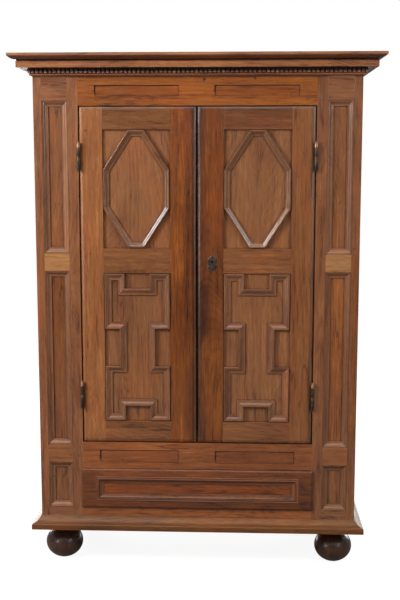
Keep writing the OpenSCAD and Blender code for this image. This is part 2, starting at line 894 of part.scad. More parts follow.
module lower_rail() {
    color("#9a6236")
        difference() {
            tenoned_rail([-opening_x, opening_x], [0, frame_t], FRONT_RAILS[1], front_tenon_d);
            brace_panels(lower_panel_l, lower_panel_h, lower_rail_z + lower_rail_h / 2);
        }
}

module bottom_rail() {
    color("#94602f")
        tenoned_rail([-opening_x, opening_x], [0, frame_t], FRONT_RAILS[0], front_tenon_d);
}

// Sides and back
module rear_posts() {
    color("#87562f")
        both_sides()
            difference() {
                board([post_x, body_x], [rear_post_d, body_d], [carcass_z, crown_z]);
                side_grooves();
                for (z = SIDE_RAILS)
                    side_mortise(rear_post_d, 1, z);
                for (z = BACK_RAILS)
                    mortise(post_x, 1, z, back_tenon_d);
            }
}

module side_rails() {
    color("#8c5a33")
        both_sides()
            difference() {
                for (z = SIDE_RAILS) {
                    board([side_rail_x, body_x], [post_d, rear_post_d], z);
                    board(side_tenon_x, [post_d - tenon_l, rear_post_d + tenon_l],
                        [z[0] + tenon_shoulder, z[1] - tenon_shoulder]);
                }
                side_grooves();
            }
}

module side_panels() {
    tongue = groove_l - joint_gap;
    color("#845230")
        both_sides()
            for (z = SIDE_PANELS)
                board(side_panel_x, [post_d - tongue, rear_post_d + tongue],
                    [z[0] - tongue, z[1] + tongue]);
}

// The second rail of the back carries the rear of the cupboard floor and meets the kickers
BACK_RAILS = [
    [carcass_z, side_panel_z],
    [kicker_z - tenon_shoulder, floor_z[0]],
    [upper_block_z, top_panel_z],
    [pilaster_top_z, crown_z]
];

module back_rails() {
    color("#b08454")
        for (z = BACK_RAILS)
            tenoned_rail([-post_x, post_x], [back_rail_d, back_rail_d + back_rail_t], z,
                back_tenon_d);
}

module back_boards() {
    board_w = (2 * post_x - 2 * joint_gap) / back_board_count;
    front = back_rail_d + back_rail_t;
    middle = front + back_board_t / 2;
    color("#ad7f50")
        for (i = [0:back_board_count - 1]) {
            x0 = -post_x + joint_gap + i * board_w;
            x1 = x0 + board_w - joint_gap;
            lap0 = i == 0 ? 0 : back_lap;
            lap1 = i == back_board_count - 1 ? 0 : back_lap;
            translate([0, front_y, carcass_z])
                linear_extrude(crown_z - carcass_z)
                    polygon([
                        [x0, front], [x1, front], [x1, middle + joint_gap],
                        [x1 + lap1, middle + joint_gap], [x1 + lap1, body_d],
                        [x0 + lap0, body_d], [x0 + lap0, middle], [x0, middle]
                    ]);
        }
}

// Crown
module cornice_front() {
    color("#8a4d26") front_run(crown_profile(), crown_z, crown_seat_w, crown_out);
}

module cornice_returns() {
    color("#84492a") both_sides() side_run(crown_profile(), crown_z, crown_seat_w, crown_out);
}

module cornice_rear_rail() {
    x = body_x - crown_seat_w;
    color("#87562f")
        board([-x, x], [body_d - crown_rear_w, body_d], [crown_z, crown_z + crown_frame_t]);
}

module top_boards() {
    x = body_x - crown_seat_w - joint_gap;
    d0 = crown_seat_w + joint_gap;
    deep = (body_d - crown_rear_w - d0) / top_board_count;
    color("#b08454")
        for (i = [0:top_board_count - 1])
            board([-x, x], [d0 + i * deep, d0 + (i + 1) * deep - joint_gap],
                [crown_z, crown_z + cover_t]);
}

// Each tooth is let into the strip behind it by this much
dentil_root = 0.6;
tooth_l = dentil_out - dentil_back_t + dentil_root;

// A row of evenly spaced teeth, seen from above. The row runs along x from 0 to l, with half
// a space at each end, and the teeth stand on the side of y below 0
module teeth(l) {
    n = round(l / dentil_pitch);
    for (i = [0:n - 1])
        translate([(i + 0.5) * l / n - dentil_w / 2, -tooth_l]) square([dentil_w, tooth_l]);
}

module dentil_course() {
    strip = dentil_back_t - dentil_root;
    corner = strip + tooth_l;
    color("#96693c")
        translate([0, front_y, dentil_z])
            linear_extrude(dentil_h) {
                difference() {
                    translate([-body_x - dentil_back_t, -dentil_back_t])
                        square([body_w + 2 * dentil_back_t, body_d + dentil_back_t]);
                    translate([-body_x, 0]) square([body_w, body_d + over]);
                }
                translate([-body_x - strip, -strip]) teeth(body_w + 2 * strip);
                for (side = [-1, 1])
                    scale([side, 1]) {
                        translate([body_x + strip, -corner]) square(tooth_l);
                        translate([body_x + strip, -strip]) rotate(90) teeth(body_d + strip);
                    }
            }
}

module bed_moulding() {
    color("#9c6a38") {
        front_run(bed_profile(), bed_z, 0, bed_out);
        both_sides() side_run(bed_profile(), bed_z, 0, bed_out);
    }
}

// Inside the carcass
function shelf_z(i) = floor_z[1] + i * shelf_pitch;

module cupboard_floor() {
    notch = door_bolt_w / 2 + over;
    color("#b98d5c")
        difference() {
            board([-shelf_x, shelf_x], [inside_d, shelf_back_d], floor_z);
            board([bolt_x - notch, bolt_x + notch], [0, bolt_d + door_bolt_t + over],
                [floor_z[0] - over, floor_z[1] + over]);
        }
}

module shelves() {
    color("#bb905f")
        for (i = [1:shelf_count])
            board([-shelf_x, shelf_x], [post_d, shelf_back_d], [shelf_z(i) - shelf_t, shelf_z(i)]);
}

module shelf_cleats() {
    color("#a87c4c")
        both_sides()
            for (i = [0:shelf_count])
                board([post_x - cleat_w, post_x], [inside_d, shelf_back_d],
                    [shelf_z(i) - shelf_t - cleat_h, shelf_z(i) - shelf_t]);
}

module drawer_runners() {
    outer = drawer_side_x + guide_gap + guide_w;
    length_d = [frame_t, back_rail_d];
    color("#a87c4c")
        both_sides() {
            board([outer - runner_w, outer], length_d, [drawer_z - runner_h, drawer_z]);
            board([outer - guide_w, outer], length_d, [drawer_z, drawer_z + guide_h]);
            board([outer - runner_w, outer], length_d, [kicker_z, kicker_z + kicker_h]);
        }
}

// Doors, drawn as the left door
module door_edge_cut() {
    waste = edge_waste(door_edge_w, door_edge_d);
    x0 = door_x[0];
    x1 = door_x[1];
    z0 = door_z[0];
    z1 = door_z[1];
    corners = [[x0, z0, 0], [x1, z0, 90], [x1, z1, 180], [x0, z1, 270]];
    on_front()
        for (c = corners)
            translate([c[0], c[1], 0])
                rotate([0, 0, c[2]])
                    translate([-over, 0, 0])
                        rotate([90, 0, 90])
                            linear_extrude(max(x1 - x0, z1 - z0) + 2 * over) polygon(waste);
}

module door_grooves() {
    for (z = DOOR_PANELS)
        panel_groove(door_panel_x, door_panel_d, z);
}

module hinge_stile() {
    difference() {
        board([door_x[0], door_panel_x[0]], [0, door_t], door_z);
        door_edge_cut();
        door_grooves();
        for (z = DOOR_RAILS)
            mortise(door_panel_x[0], -1, z, door_tenon_d);
        for (z = hinge_zs)
            board([door_x[0] - over, leaf_x[1] - 2 * axis_x + joint_gap],
                [-over, leaf_l + joint_gap], [z - joint_gap, z + hinge_h + joint_gap]);
    }
}

module meeting_stile() {
    difference() {
        board([door_panel_x[1], door_x[1]], [0, door_t], door_z);
        door_edge_cut();
        door_grooves();
        for (z = DOOR_RAILS)
            mortise(door_panel_x[1], 1, z, door_tenon_d);
    }
}

module door_rails() {
    difference() {
        for (z = DOOR_RAILS)
            tenoned_rail(door_panel_x, [0, door_t], z, door_tenon_d);
        door_edge_cut();
        door_grooves();
    }
}

module door_panels() {
    for (z = DOOR_PANELS)
        panel(door_panel_x, door_panel_d, z);
}

// A moulding on a door panel, as [bottom, top], drawn round the panel's middle
module on_door_panel(z) {
    on_front(door_panel_sunk) translate([door_panel_mid, middle(z), 0]) children();
}

// Octagon as tall and wide as the upper panel allows
function octagon_path() =
    let (
        a = half(door_panel_x) - mould_margin,
        b = half(DOOR_PANELS[1]) - mould_margin,
        c = octagon_top_l / 2,
        e = octagon_side_l / 2
    )
    [[-c, -b], [c, -b], [a, -e], [a, e], [c, b], [-c, b], [-a, e], [-a, -e]];

module octagon_moulding() {
    on_door_panel(DOOR_PANELS[1])
        mitred_loop(octagon_path(), raised_profile(octagon_w, octagon_h), octagon_w, 0, octagon_h);
}

// Rectangle with a notch in the middle of each side, inside the lower panel
function stepped_path() =
    let (
        a = half(door_panel_x) - mould_margin,
        b = half(DOOR_PANELS[0]) - mould_margin,
        c = end_notch_w / 2,
        g = side_notch_h / 2,
        u = a - side_notch_d,
        v = b - end_notch_d
    )
    [
        [-a, -b], [-c, -b], [-c, -v], [c, -v], [c, -b],
        [a, -b], [a, -g], [u, -g], [u, g], [a, g],
        [a, b], [c, b], [c, v], [-c, v], [-c, b],
        [-a, b], [-a, g], [-u, g], [-u, -g], [-a, -g]
    ];

module stepped_moulding() {
    on_door_panel(DOOR_PANELS[0])
        mitred_loop(stepped_path(), raised_profile(stepped_w, stepped_h), stepped_w, 0, stepped_h);
}

module left_hinge_stile() {
    color("#8f5b35") hinge_stile();
}

module left_meeting_stile() {
    color("#94603a") meeting_stile();
}

module left_door_rails() {
    color("#9a6539") door_rails();
}

module left_door_panels() {
    color("#a06a3c") door_panels();
}

module left_octagon_moulding() {
    color("#76472a") octagon_moulding();
}

module left_stepped_moulding() {
    color("#7c4c2c") stepped_moulding();
}

// Keyhole outline, with the round part at the origin
module keyhole(grow) {
    circle(keyhole_r + grow);
    translate([-keyhole_slot_w / 2 - grow, -keyhole_slot_l - grow])
        square([keyhole_slot_w + 2 * grow, keyhole_slot_l + grow]);
}

module right_hinge_stile() {
    color("#8b5833") mirrored() hinge_stile();
}

module right_meeting_stile() {
    color("#8f5c38")
        difference() {
            mirrored() meeting_stile();
            on_front(door_t + over)
                translate([keyhole_x, keyhole_z, 0]) linear_extrude(door_t + 2 * over) keyhole(1);
        }
}

module right_door_rails() {
    color("#956137") mirrored() door_rails();
}

module right_door_panels() {
    color("#9b663b") mirrored() door_panels();
}

module right_octagon_moulding() {
    color("#734528") mirrored() octagon_moulding();
}

module right_stepped_moulding() {
    color("#794a2b") mirrored() stepped_moulding();
}

// Hinges. The carcass has the lower knuckle with the pin, and the door lifts off it
knob_h = 7;

// A turned knob on the end of a barrel, below z = 0
module barrel_knob() {
    rotate_extrude()
        polygon(concat(
            [[0, 0]],
            bend([0, -knob_h], [hinge_r * 0.7, -knob_h], [hinge_r * 0.7, -knob_h * 0.6]),
            bend([hinge_r * 0.7, -knob_h * 0.6], [hinge_r * 0.4, -knob_h * 0.3], [hinge_r - 1, 0])
        ));
}

module frame_leaf(z) {
    translate([axis_x, front_y - hinge_out, z]) {
        barrel_knob();
        cylinder(r = hinge_r, h = knuckle_h);
        cylinder(r = pin_r, h = knuckle_h + pin_l);
    }
    board(leaf_x, [leaf_d, leaf_l], [z, z + hinge_h]);
    board(leaf_x, [-hinge_out, leaf_d], [z, z + knuckle_h]);
}

module door_leaf(z) {
    top = z + hinge_h;
    difference() {
        union() {
            translate([-axis_x, front_y - hinge_out, top]) mirror([0, 0, 1]) {
                barrel_knob();
                cylinder(r = hinge_r, h = knuckle_h);
            }
            translate([2 * -axis_x, 0, 0]) {
                board(leaf_x, [leaf_d, leaf_l], [z, top]);
                board(leaf_x, [-hinge_out, leaf_d], [top - knuckle_h, top]);
            }
        }
        translate([-axis_x, front_y - hinge_out, top - knuckle_h - over])
            cylinder(r = pin_r + pin_gap, h = pin_l + over + 1);
    }
}

module frame_hinge_leaves() {
    color("#3a3430") both_sides() for (z = hinge_zs) frame_leaf(z);
}

module left_door_hinge_leaves() {
    color("#423b36") for (z = hinge_zs) door_leaf(z);
}

module right_door_hinge_leaves() {
    color("#423b36") mirrored() for (z = hinge_zs) door_leaf(z);
}

// Lock on the right door
module escutcheon() {
    lobe = plate_w / 4;
    color("#2e2a28")
        on_front()
            translate([keyhole_x, keyhole_z - plate_h * 0.08, 0])
                linear_extrude(plate_t)
                    difference() {
                        union() {
                            square([plate_w * 0.6, plate_h - 2 * lobe], center = true);
                            for (s = [-1, 1]) {
                                translate([0, s * (plate_h / 2 - lobe)]) circle(lobe);
                                for (x = [-1, 1])
                                    translate([x * (plate_w / 2 - lobe), s * plate_h * 0.17])
                                        circle(lobe);
                            }
                        }
                        translate([0, plate_h * 0.08]) keyhole(0);
                    }
}

module lock_case() {
    color("#34302c")
        difference() {
            board([lock_x, lock_x + lock_w], [door_t, door_t + lock_t], [lock_z, lock_z + lock_h]);
            board(
                [lock_x - over, lock_x + lock_bolt_l + 2],
                [lock_bolt_d - joint_gap, lock_bolt_d + lock_bolt_t + joint_gap],
                [lock_bolt_z - lock_bolt_h / 2 - joint_gap, lock_bolt_z + lock_bolt_h / 2 + joint_gap]
            );
            on_front(door_t + 6)
                translate([keyhole_x, keyhole_z, 0]) linear_extrude(6 + over) keyhole(1);
        }
}

module lock_bolt() {
    color("#6b6259")
        board([lock_x, lock_x + lock_bolt_l], [lock_bolt_d, lock_bolt_d + lock_bolt_t],
            [lock_bolt_z - lock_bolt_h / 2, lock_bolt_z + lock_bolt_h / 2]);
}

// The bolt's box on the left door
module lock_keeper() {
    wall = 4;
    color("#34302c")
        difference() {
            board([door_x[1] - lock_throw - wall, door_x[1] - 1], [door_t, door_t + lock_t],
                [lock_bolt_z - lock_bolt_h / 2 - 2 * wall, lock_bolt_z + lock_bolt_h / 2 + 2 * wall]);
            board([door_x[1] - lock_throw, door_x[1] + over],
                [lock_bolt_d - 1, lock_bolt_d + lock_bolt_t + 1],
                [lock_bolt_z - lock_bolt_h / 2 - 1, lock_bolt_z + lock_bolt_h / 2 + 1]);
        }
}

// Bolts inside the left door
staple_h = 12;

// Back plate and two staples for a bolt whose lower end is at z
module bolt_guide(z) {
    plate_x = [bolt_x - door_bolt_w, bolt_x + door_bolt_w];
    board(plate_x, [door_t, door_t + guide_t], [z + 4, z + door_bolt_l - 4]);
    difference() {
        for (up = [8, door_bolt_l - 8 - staple_h])
            board([bolt_x - door_bolt_w, bolt_x + door_bolt_w],
                [door_t + guide_t, bolt_d + door_bolt_t + 4], [z + up, z + up + staple_h]);
        board([bolt_x - door_bolt_w / 2 - joint_gap, bolt_x + door_bolt_w / 2 + joint_gap],
            [door_t + guide_t - 1, bolt_d + door_bolt_t + joint_gap], [z, z + door_bolt_l]);
    }
}

module door_bolt(z) {
    board([bolt_x - door_bolt_w / 2, bolt_x + door_bolt_w / 2], [bolt_d, bolt_d + door_bolt_t],
        [z, z + door_bolt_l]);
    on_front(bolt_d + door_bolt_t + 12)
        translate([bolt_x, z + door_bolt_l / 2, 0]) cylinder(r = door_bolt_w * 0.4, h = 12);
}

module door_bolt_guides() {
    color("#34302c") {
        bolt_guide(top_bolt_z);
        bolt_guide(bottom_bolt_z);
    }
}

module top_bolt() {
    color("#4b443e") door_bolt(top_bolt_z);
}

module bottom_bolt() {
    color("#4b443e") door_bolt(bottom_bolt_z);
}

// Drawer
// Rise of a dovetail's edge for each millimetre of its length
tail_slope = 1 / 6;

// Dovetails on an end of the drawer's right side, from root_d to tip_d, spread over z.
// They are widened by a clearance for their sockets
module dovetails(root_d, tip_d, z, grow) {
    way = sign(tip_d - root_d);
    pitch = (z[1] - z[0]) / tail_count;
    root = tail_root_w / 2 + grow;
    tip = root + abs(tip_d - root_d) * tail_slope;
    translate([drawer_side_x - drawer_side_t - grow, front_y, 0])
        rotate([90, 0, 90])
            linear_extrude(drawer_side_t + grow * over)
                for (i = [0:tail_count - 1])
                    translate([0, z[0] + (i + 0.5) * pitch])
                        polygon([
                            [root_d - way * over, -root], [root_d, -root], [tip_d + way * grow, -tip],
                            [tip_d + way * grow, tip], [root_d, root], [root_d - way * over, root]
                        ]);
}

module front_dovetails(grow) {
    dovetails(drawer_front_t, tail_cover, drawer_side_z, grow);
}

module rear_dovetails(grow) {
    dovetails(drawer_back_d[0], drawer_back_d[1], drawer_back_z, grow);
}

module drawer_front() {
    waste = edge_waste(5, 4);
    corners = [
        [-lip_x, lip_z[0], 0], [lip_x, lip_z[0], 90],
        [lip_x, lip_z[1], 180], [-lip_x, lip_z[1], 270]
    ];
    color("#93603a")
        difference() {
            union() {
                board([-lip_x, lip_x], [lip_d, -run_gap], lip_z);
                board([-drawer_x, drawer_x], [-run_gap, drawer_front_t], drawer_front_z);
            }
            board([-field_x, field_x], [lip_d - over, lip_d + drawer_sunk], field_z);
            on_front(lip_d)
                for (c = corners)
                    translate([c[0], c[1], 0])
                        rotate([0, 0, c[2]])
                            translate([-over, 0, 0])
                                rotate([90, 0, 90])
                                    linear_extrude(2 * (lip_x + over)) polygon(waste);
            drawer_bottom_groove();
            both_sides() front_dovetails(joint_gap);
        }
}

module drawer_moulding() {
    color("#7a4b2c")
        on_front(lip_d + drawer_sunk)
            translate([0, middle(field_z), 0])
                mitred_loop(
                    rectangle(field_x, half(field_z)),
                    drawer_profile(drawer_mould_w, drawer_sunk),
                    drawer_mould_w, 0, drawer_sunk
                );
}

// Where the drawer's bottom lies, in grooves of the front and the sides
module drawer_bottom_space(grow) {
    x = drawer_side_x - drawer_side_t + drawer_groove + grow;
    board([-x, x], [drawer_front_t - drawer_groove - grow, drawer_box_d[1]],
        [drawer_bottom_z[0] - grow, drawer_bottom_z[1] + grow]);
}

module drawer_bottom_groove() {
    drawer_bottom_space(joint_gap);
}

module drawer_sides() {
    x = [drawer_side_x - drawer_side_t, drawer_side_x];
    color("#c09a68")
        both_sides()
            difference() {
                union() {
                    board(x, [drawer_box_d[0], drawer_back_d[0]], drawer_side_z);
                    board(x, drawer_box_d, [drawer_side_z[0], drawer_bottom_z[1]]);
                    front_dovetails(0);
                    rear_dovetails(0);
                }
                translate([0, over, 0]) drawer_bottom_groove();
                drawer_bottom_groove();
            }
}

module drawer_back() {
    color("#bd9664")
        difference() {
            board([-drawer_side_x, drawer_side_x], drawer_back_d, drawer_back_z);
            both_sides() rear_dovetails(joint_gap);
        }
}

module drawer_bottom() {
    color("#c6a374") drawer_bottom_space(0);
}

bun_feet();
base_long_rails();
base_side_rails();
base_moulding_front();
base_moulding_returns();
bottom_boards();
left_corner_stile();
right_corner_stile();
left_inner_stile();
right_inner_stile();
pilaster_rails();
pilaster_blocks();
pilaster_panels();
left_pilaster_mouldings();
right_pilaster_mouldings();
frieze_rail();
lower_rail();
bottom_rail();
rear_posts();
side_rails();
side_panels();
back_rails();
back_boards();
top_boards();
cupboard_floor();
shelves();
shelf_cleats();
drawer_runners();
cornice_front();
cornice_returns();
cornice_rear_rail();
dentil_course();
bed_moulding();
frame_hinge_leaves();
left_hinge_stile();
left_meeting_stile();
left_door_rails();
left_door_panels();
left_octagon_moulding();
left_stepped_moulding();
left_door_hinge_leaves();
lock_keeper();
door_bolt_guides();
top_bolt();
bottom_bolt();
right_hinge_stile();
right_meeting_stile();
right_door_rails();
right_door_panels();
right_octagon_moulding();
right_stepped_moulding();
right_door_hinge_leaves();
escutcheon();
lock_case();
lock_bolt();
drawer_front();
drawer_moulding();
drawer_sides();
drawer_back();
drawer_bottom();
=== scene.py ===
"""Looks of the oak linen press: turned feet, mouldings, teeth and keyhole plate as full
shapes, a finish for every piece, and a pale studio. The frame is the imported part's: x to the
right, y to the back, z up, in metres. Profiles and outlines are written in millimetres."""
import math

import bpy
import numpy as np
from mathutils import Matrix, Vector


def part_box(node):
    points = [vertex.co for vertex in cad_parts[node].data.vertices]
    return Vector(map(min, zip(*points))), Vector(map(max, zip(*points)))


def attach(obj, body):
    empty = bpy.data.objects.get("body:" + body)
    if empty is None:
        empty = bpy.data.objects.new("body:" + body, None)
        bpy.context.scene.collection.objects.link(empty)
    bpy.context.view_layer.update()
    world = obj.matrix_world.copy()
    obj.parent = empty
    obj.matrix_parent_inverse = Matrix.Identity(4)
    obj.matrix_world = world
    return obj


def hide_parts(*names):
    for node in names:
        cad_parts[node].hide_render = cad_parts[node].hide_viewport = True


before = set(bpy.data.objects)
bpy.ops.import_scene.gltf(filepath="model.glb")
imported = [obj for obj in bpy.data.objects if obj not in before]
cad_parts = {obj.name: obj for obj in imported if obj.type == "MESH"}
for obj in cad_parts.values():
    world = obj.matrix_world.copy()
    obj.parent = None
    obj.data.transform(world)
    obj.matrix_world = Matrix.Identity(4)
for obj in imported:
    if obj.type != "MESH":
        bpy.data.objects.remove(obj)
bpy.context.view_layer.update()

MM = 0.001
RIGHT, BACK, UP = np.eye(3)
FORWARD, LEFT = -BACK, -RIGHT
WORN_EDGE = 0.7 * MM
MITRE_GAP = 0.03 * MM
chance = np.random.default_rng(27)


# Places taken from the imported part

def ends(node, axis):
    """Where a node's box starts and stops along an axis, to a hundredth of a millimetre."""
    low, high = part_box(node)
    i = "xyz".index(axis)
    return round(float(low[i]), 5), round(float(high[i]), 5)


def half_size(node):
    """Half the width and half the height of a node's box, in millimetres."""
    return [round((high - low) / 2 / MM, 2) for low, high in (ends(node, "x"), ends(node, "z"))]


def front_middle(node, y):
    """The middle of a node's box, seen from the front, on the upright plane at y."""
    x, z = (round(sum(ends(node, axis)) / 2, 6) for axis in "xz")
    return np.array([x, y, z])


FRONT_Y = ends("frieze_rail", "y")[0]
DOOR_PANEL_Y = ends("left_door_panels", "y")[0]
DRAWER_FACE_Y = ends("drawer_front", "y")[0]
DRAWER_FIELD_Y = ends("drawer_moulding", "y")[1]
BODY_X = ends("right_corner_stile", "x")[1]
RETURN_L = round(ends("rear_posts", "y")[1] - FRONT_Y, 5)
BASE_Z = ends("base_moulding_front", "z")[0]
DOOR_TOP_Z = ends("left_hinge_stile", "z")[1]
BEAD_Z = ends("bed_moulding", "z")[0]
TEETH_Z = ends("dentil_course", "z")[0]
CROWN_Z = ends("cornice_front", "z")[0]


# Shapes

def bend(start, pull, end, steps=9):
    """Points of the parabola that leaves start towards pull and comes into end from pull."""
    t = np.linspace(0, 1, steps)[:, None]
    start, pull, end = (np.array(p, float) for p in (start, pull, end))
    return (1 - t) ** 2 * start + 2 * t * (1 - t) * pull + t ** 2 * end


def outline(*stretches):
    """A profile in metres from points and bends given in millimetres."""
    return np.vstack([np.atleast_2d(np.array(s, float)) for s in stretches]) * MM


def eased(profile, radius=WORN_EDGE, steps=4, least=math.radians(28)):
    """The closed profile with its sharp corners worn round: each corner that turns more than
    least becomes a parabola that takes radius from both its sides, or two fifths of them."""
    to_last = np.roll(profile, 1, 0) - profile
    to_next = np.roll(profile, -1, 0) - profile
    last_l = np.linalg.norm(to_last, axis=1)
    next_l = np.linalg.norm(to_next, axis=1)
    to_last, to_next = to_last / last_l[:, None], to_next / next_l[:, None]
    turn = math.pi - np.arccos(np.clip((to_last * to_next).sum(1), -1, 1))
    reach = np.where(turn > least, np.minimum(radius, 0.4 * np.minimum(last_l, next_l)), 0)
    first = (profile + to_last * reach[:, None])[:, None]
    last = (profile + to_next * reach[:, None])[:, None]
    t = np.linspace(0, 1, steps)[None, :, None]
    points = (1 - t) ** 2 * first + 2 * t * (1 - t) * profile[:, None] + t ** 2 * last
    points = points.reshape(-1, 2)
    return points[np.linalg.norm(points - np.roll(points, 1, 0), axis=1) > 1e-7]


def ring_quads(rows, columns, flip):
    """Quads of a grid whose columns close on themselves, rows following each other."""
    row, column = np.arange(rows - 1)[:, None], np.arange(columns)[None, :]
    here = row * columns + column
    beside = row * columns + (column + 1) % columns
    quads = np.stack([here, beside, beside + columns, here + columns], -1).reshape(-1, 4)
    return quads[:, ::-1] if flip else quads


def prism(rings, in_wood, board, flip):
    """A closed shell from rings of points (rings, points, 3), with a flat face at each end.
    in_wood is each point's place in its length of wood, and board that length's number."""
    rows, columns = rings.shape[:2]
    first, last = np.arange(columns)[::-1], np.arange(columns) + (rows - 1) * columns
    if flip:
        first, last = first[::-1], last[::-1]
    faces = ring_quads(rows, columns, flip).tolist() + [first.tolist(), last.tolist()]
    return rings.reshape(-1, 3), faces, in_wood.reshape(-1, 3), np.full(rows * columns, board)


def strip(start, end, inward, out, profile, cuts=(0, 0), steps=10):
    """One length of moulding: a profile point (u, v) goes to start + u inward + v out, and runs
    along from u times the first cut to the length less u times the second, so mitres close."""
    length = np.linalg.norm(end - start)
    along = (end - start) / length
    u, v = eased(profile).T
    first = u * cuts[0] + (MITRE_GAP if cuts[0] else 0)
    last = length - u * cuts[1] - (MITRE_GAP if cuts[1] else 0)
    run = first + (last - first) * np.linspace(0, 1, steps + 1)[:, None]
    across, through = np.broadcast_to(u, run.shape), np.broadcast_to(v, run.shape)
    rings = start + run[..., None] * along + across[..., None] * inward + through[..., None] * out
    in_wood = np.stack([run, across, through], -1)
    area = (u * np.roll(v, -1) - np.roll(u, -1) * v).sum()
    flip = area * np.dot(np.cross(along, inward), out) < 0
    return prism(rings, in_wood, chance.random(), flip)


def mitred_loop(path, profile, middle):
    """A strip on each side of a closed path that runs anticlockwise on the front. Each unit
    inwards costs a side tan(half the turn) at a corner."""
    corners = np.array(path, float) * MM
    sides = np.roll(corners, -1, 0) - corners
    along = sides / np.linalg.norm(sides, axis=1)[:, None]
    before = np.roll(along, 1, 0)
    turn = np.arctan2(before[:, 0] * along[:, 1] - before[:, 1] * along[:, 0],
                      (before * along).sum(1))
    cuts = np.tan(turn / 2)
    flat = np.stack([RIGHT, UP])
    shells = []
    for i in range(len(corners)):
        j = (i + 1) % len(corners)
        inward = np.array([-along[i, 1], along[i, 0]]) @ flat
        shells.append(strip(middle + corners[i] @ flat, middle + corners[j] @ flat,
                            inward, FORWARD, profile, (cuts[i], cuts[j])))
    return shells


def around_carcass(profile, z):
    """A front length and two returns, mitred at the front corners and square at the back."""
    left, right = np.array([-BODY_X, FRONT_Y, z]), np.array([BODY_X, FRONT_Y, z])
    return [
        strip(left, right, FORWARD, UP, profile, (-1, -1), steps=30),
        strip(right, right + RETURN_L * BACK, RIGHT, UP, profile, (-1, 0), steps=14),
        strip(left, left + RETURN_L * BACK, LEFT, UP, profile, (-1, 0), steps=14),
    ]


def turned(profile, centre, sides=72):
    """A turned shape: the profile (radius, height) swept round the upright through centre."""
    angle = np.linspace(0, 2 * math.pi, sides, endpoint=False)
    r, z = profile[:, :1], profile[:, 1:]
    rings = np.stack([r * np.cos(angle), r * np.sin(angle), z + 0 * angle], -1)
    in_wood = np.stack([rings[..., 2], rings[..., 0], rings[..., 1]], -1)
    return prism(rings + centre, in_wood, chance.random(), False)


def show(name, data):
    """Puts a mesh, a lamp or a camera into the scene."""
    made = bpy.data.objects.new(name, data)
    bpy.context.scene.collection.objects.link(made)
    return made


def piece(name, shells, material, body, replaced):
    """Joins closed shells into one mesh, with each point's place in its own length of wood and
    that length's number as attributes, and lets it ride on its body."""
    starts = np.cumsum([0] + [len(s[0]) for s in shells])
    points = np.concatenate([s[0] for s in shells])
    faces = [[i + at for i in f] for s, at in zip(shells, starts) for f in s[1]]
    mesh = bpy.data.meshes.new(name)
    mesh.from_pydata(points.tolist(), [], faces)
    in_wood = np.concatenate([s[2] for s in shells]).astype("f")
    mesh.attributes.new("wood", "FLOAT_VECTOR", "POINT").data.foreach_set(
        "vector", in_wood.ravel())
    boards = np.concatenate([s[3] for s in shells]).astype("f")
    mesh.attributes.new("board", "FLOAT", "POINT").data.foreach_set("value", boards)
    mesh.materials.append(material)
    mesh.shade_smooth()
    mesh.set_sharp_from_angle(angle=math.radians(40))
    made = show(name, mesh)
    made.modifiers.new("even_faces", "WEIGHTED_NORMAL").keep_sharp = True
    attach(made, body)
    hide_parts(*replaced)


# Finishes

def tone(red, green, blue):
    """A colour given as it looks on a screen, 0 to 255, as linear light."""
    c = np.array([red, green, blue]) / 255
    return (*np.where(c <= 0.04045, c / 12.92, ((c + 0.055) / 1.055) ** 2.4).tolist(), 1)


class Tree:
    """A node tree with short words for the steps that the finishes use."""

    def __init__(self, tree):
        self.tree = tree
        tree.nodes.clear()

    def node(self, kind, links=None, **settings):
        """A node with its settings made and its inputs linked or given a value."""
        made = self.tree.nodes.new(kind)
        for name, value in settings.items():
            setattr(made, name, value)
        for socket, value in (links or {}).items():
            if isinstance(value, bpy.types.NodeSocket):
                self.tree.links.new(value, made.inputs[socket])
            else:
                made.inputs[socket].default_value = value
        return made

    def maths(self, operation, *terms):
        """One step of arithmetic on numbers."""
        return self.node("ShaderNodeMath", dict(enumerate(terms)), operation=operation).outputs[0]

    def vector(self, operation, *terms):
        """One step on vectors, which gives a number for a dot product or a distance."""
        made = self.node("ShaderNodeVectorMath", dict(enumerate(terms)), operation=operation)
        return made.outputs["Value" if operation in ("DOT_PRODUCT", "DISTANCE") else "Vector"]

    def blend(self, share, first, second, mode="MIX"):
        """The first colour, mixed with or multiplied by a share of the second."""
        return self.node("ShaderNodeMix", {0: share, 6: first, 7: second}, data_type="RGBA",
                         blend_type=mode).outputs[2]

    def fade(self, value, low, high, start=0.0, end=1.0):
        """start below low, end above high, and a smooth change between."""
        return self.node("ShaderNodeMapRange", {0: value, 1: low, 2: high, 3: start, 4: end},
                         interpolation_type="SMOOTHSTEP").outputs[0]

    def cloud(self, place, stretch, detail=2.0, roughness=0.5):
        """Smooth noise whose lumps are 1 / stretch long in each direction, about 0.5."""
        place = self.vector("MULTIPLY", place, stretch)
        return self.node("ShaderNodeTexNoise", {"Vector": place, "Scale": 1.0, "Detail": detail,
                                                "Roughness": roughness}).outputs[0]

    def steps(self, value, *stops):
        """A number to a number, through stops of (value, result)."""
        ramp = self.node("ShaderNodeValToRGB", {0: value})
        marks = ramp.color_ramp.elements
        while len(marks) < len(stops):
            marks.new(0.5)
        for mark, (at, result) in zip(marks, stops):
            mark.position = at
            mark.color = (result, result, result, 1)
        return ramp.outputs[0]

    def add_swing(self, value, layer, weight):
        """The value with a layer of noise added, which swings about 0.5, times a weight."""
        return self.maths("MULTIPLY_ADD", self.maths("SUBTRACT", layer, 0.5), weight, value)

    def parts(self, place):
        """The three numbers of a vector."""
        return self.node("ShaderNodeSeparateXYZ", {0: place}).outputs


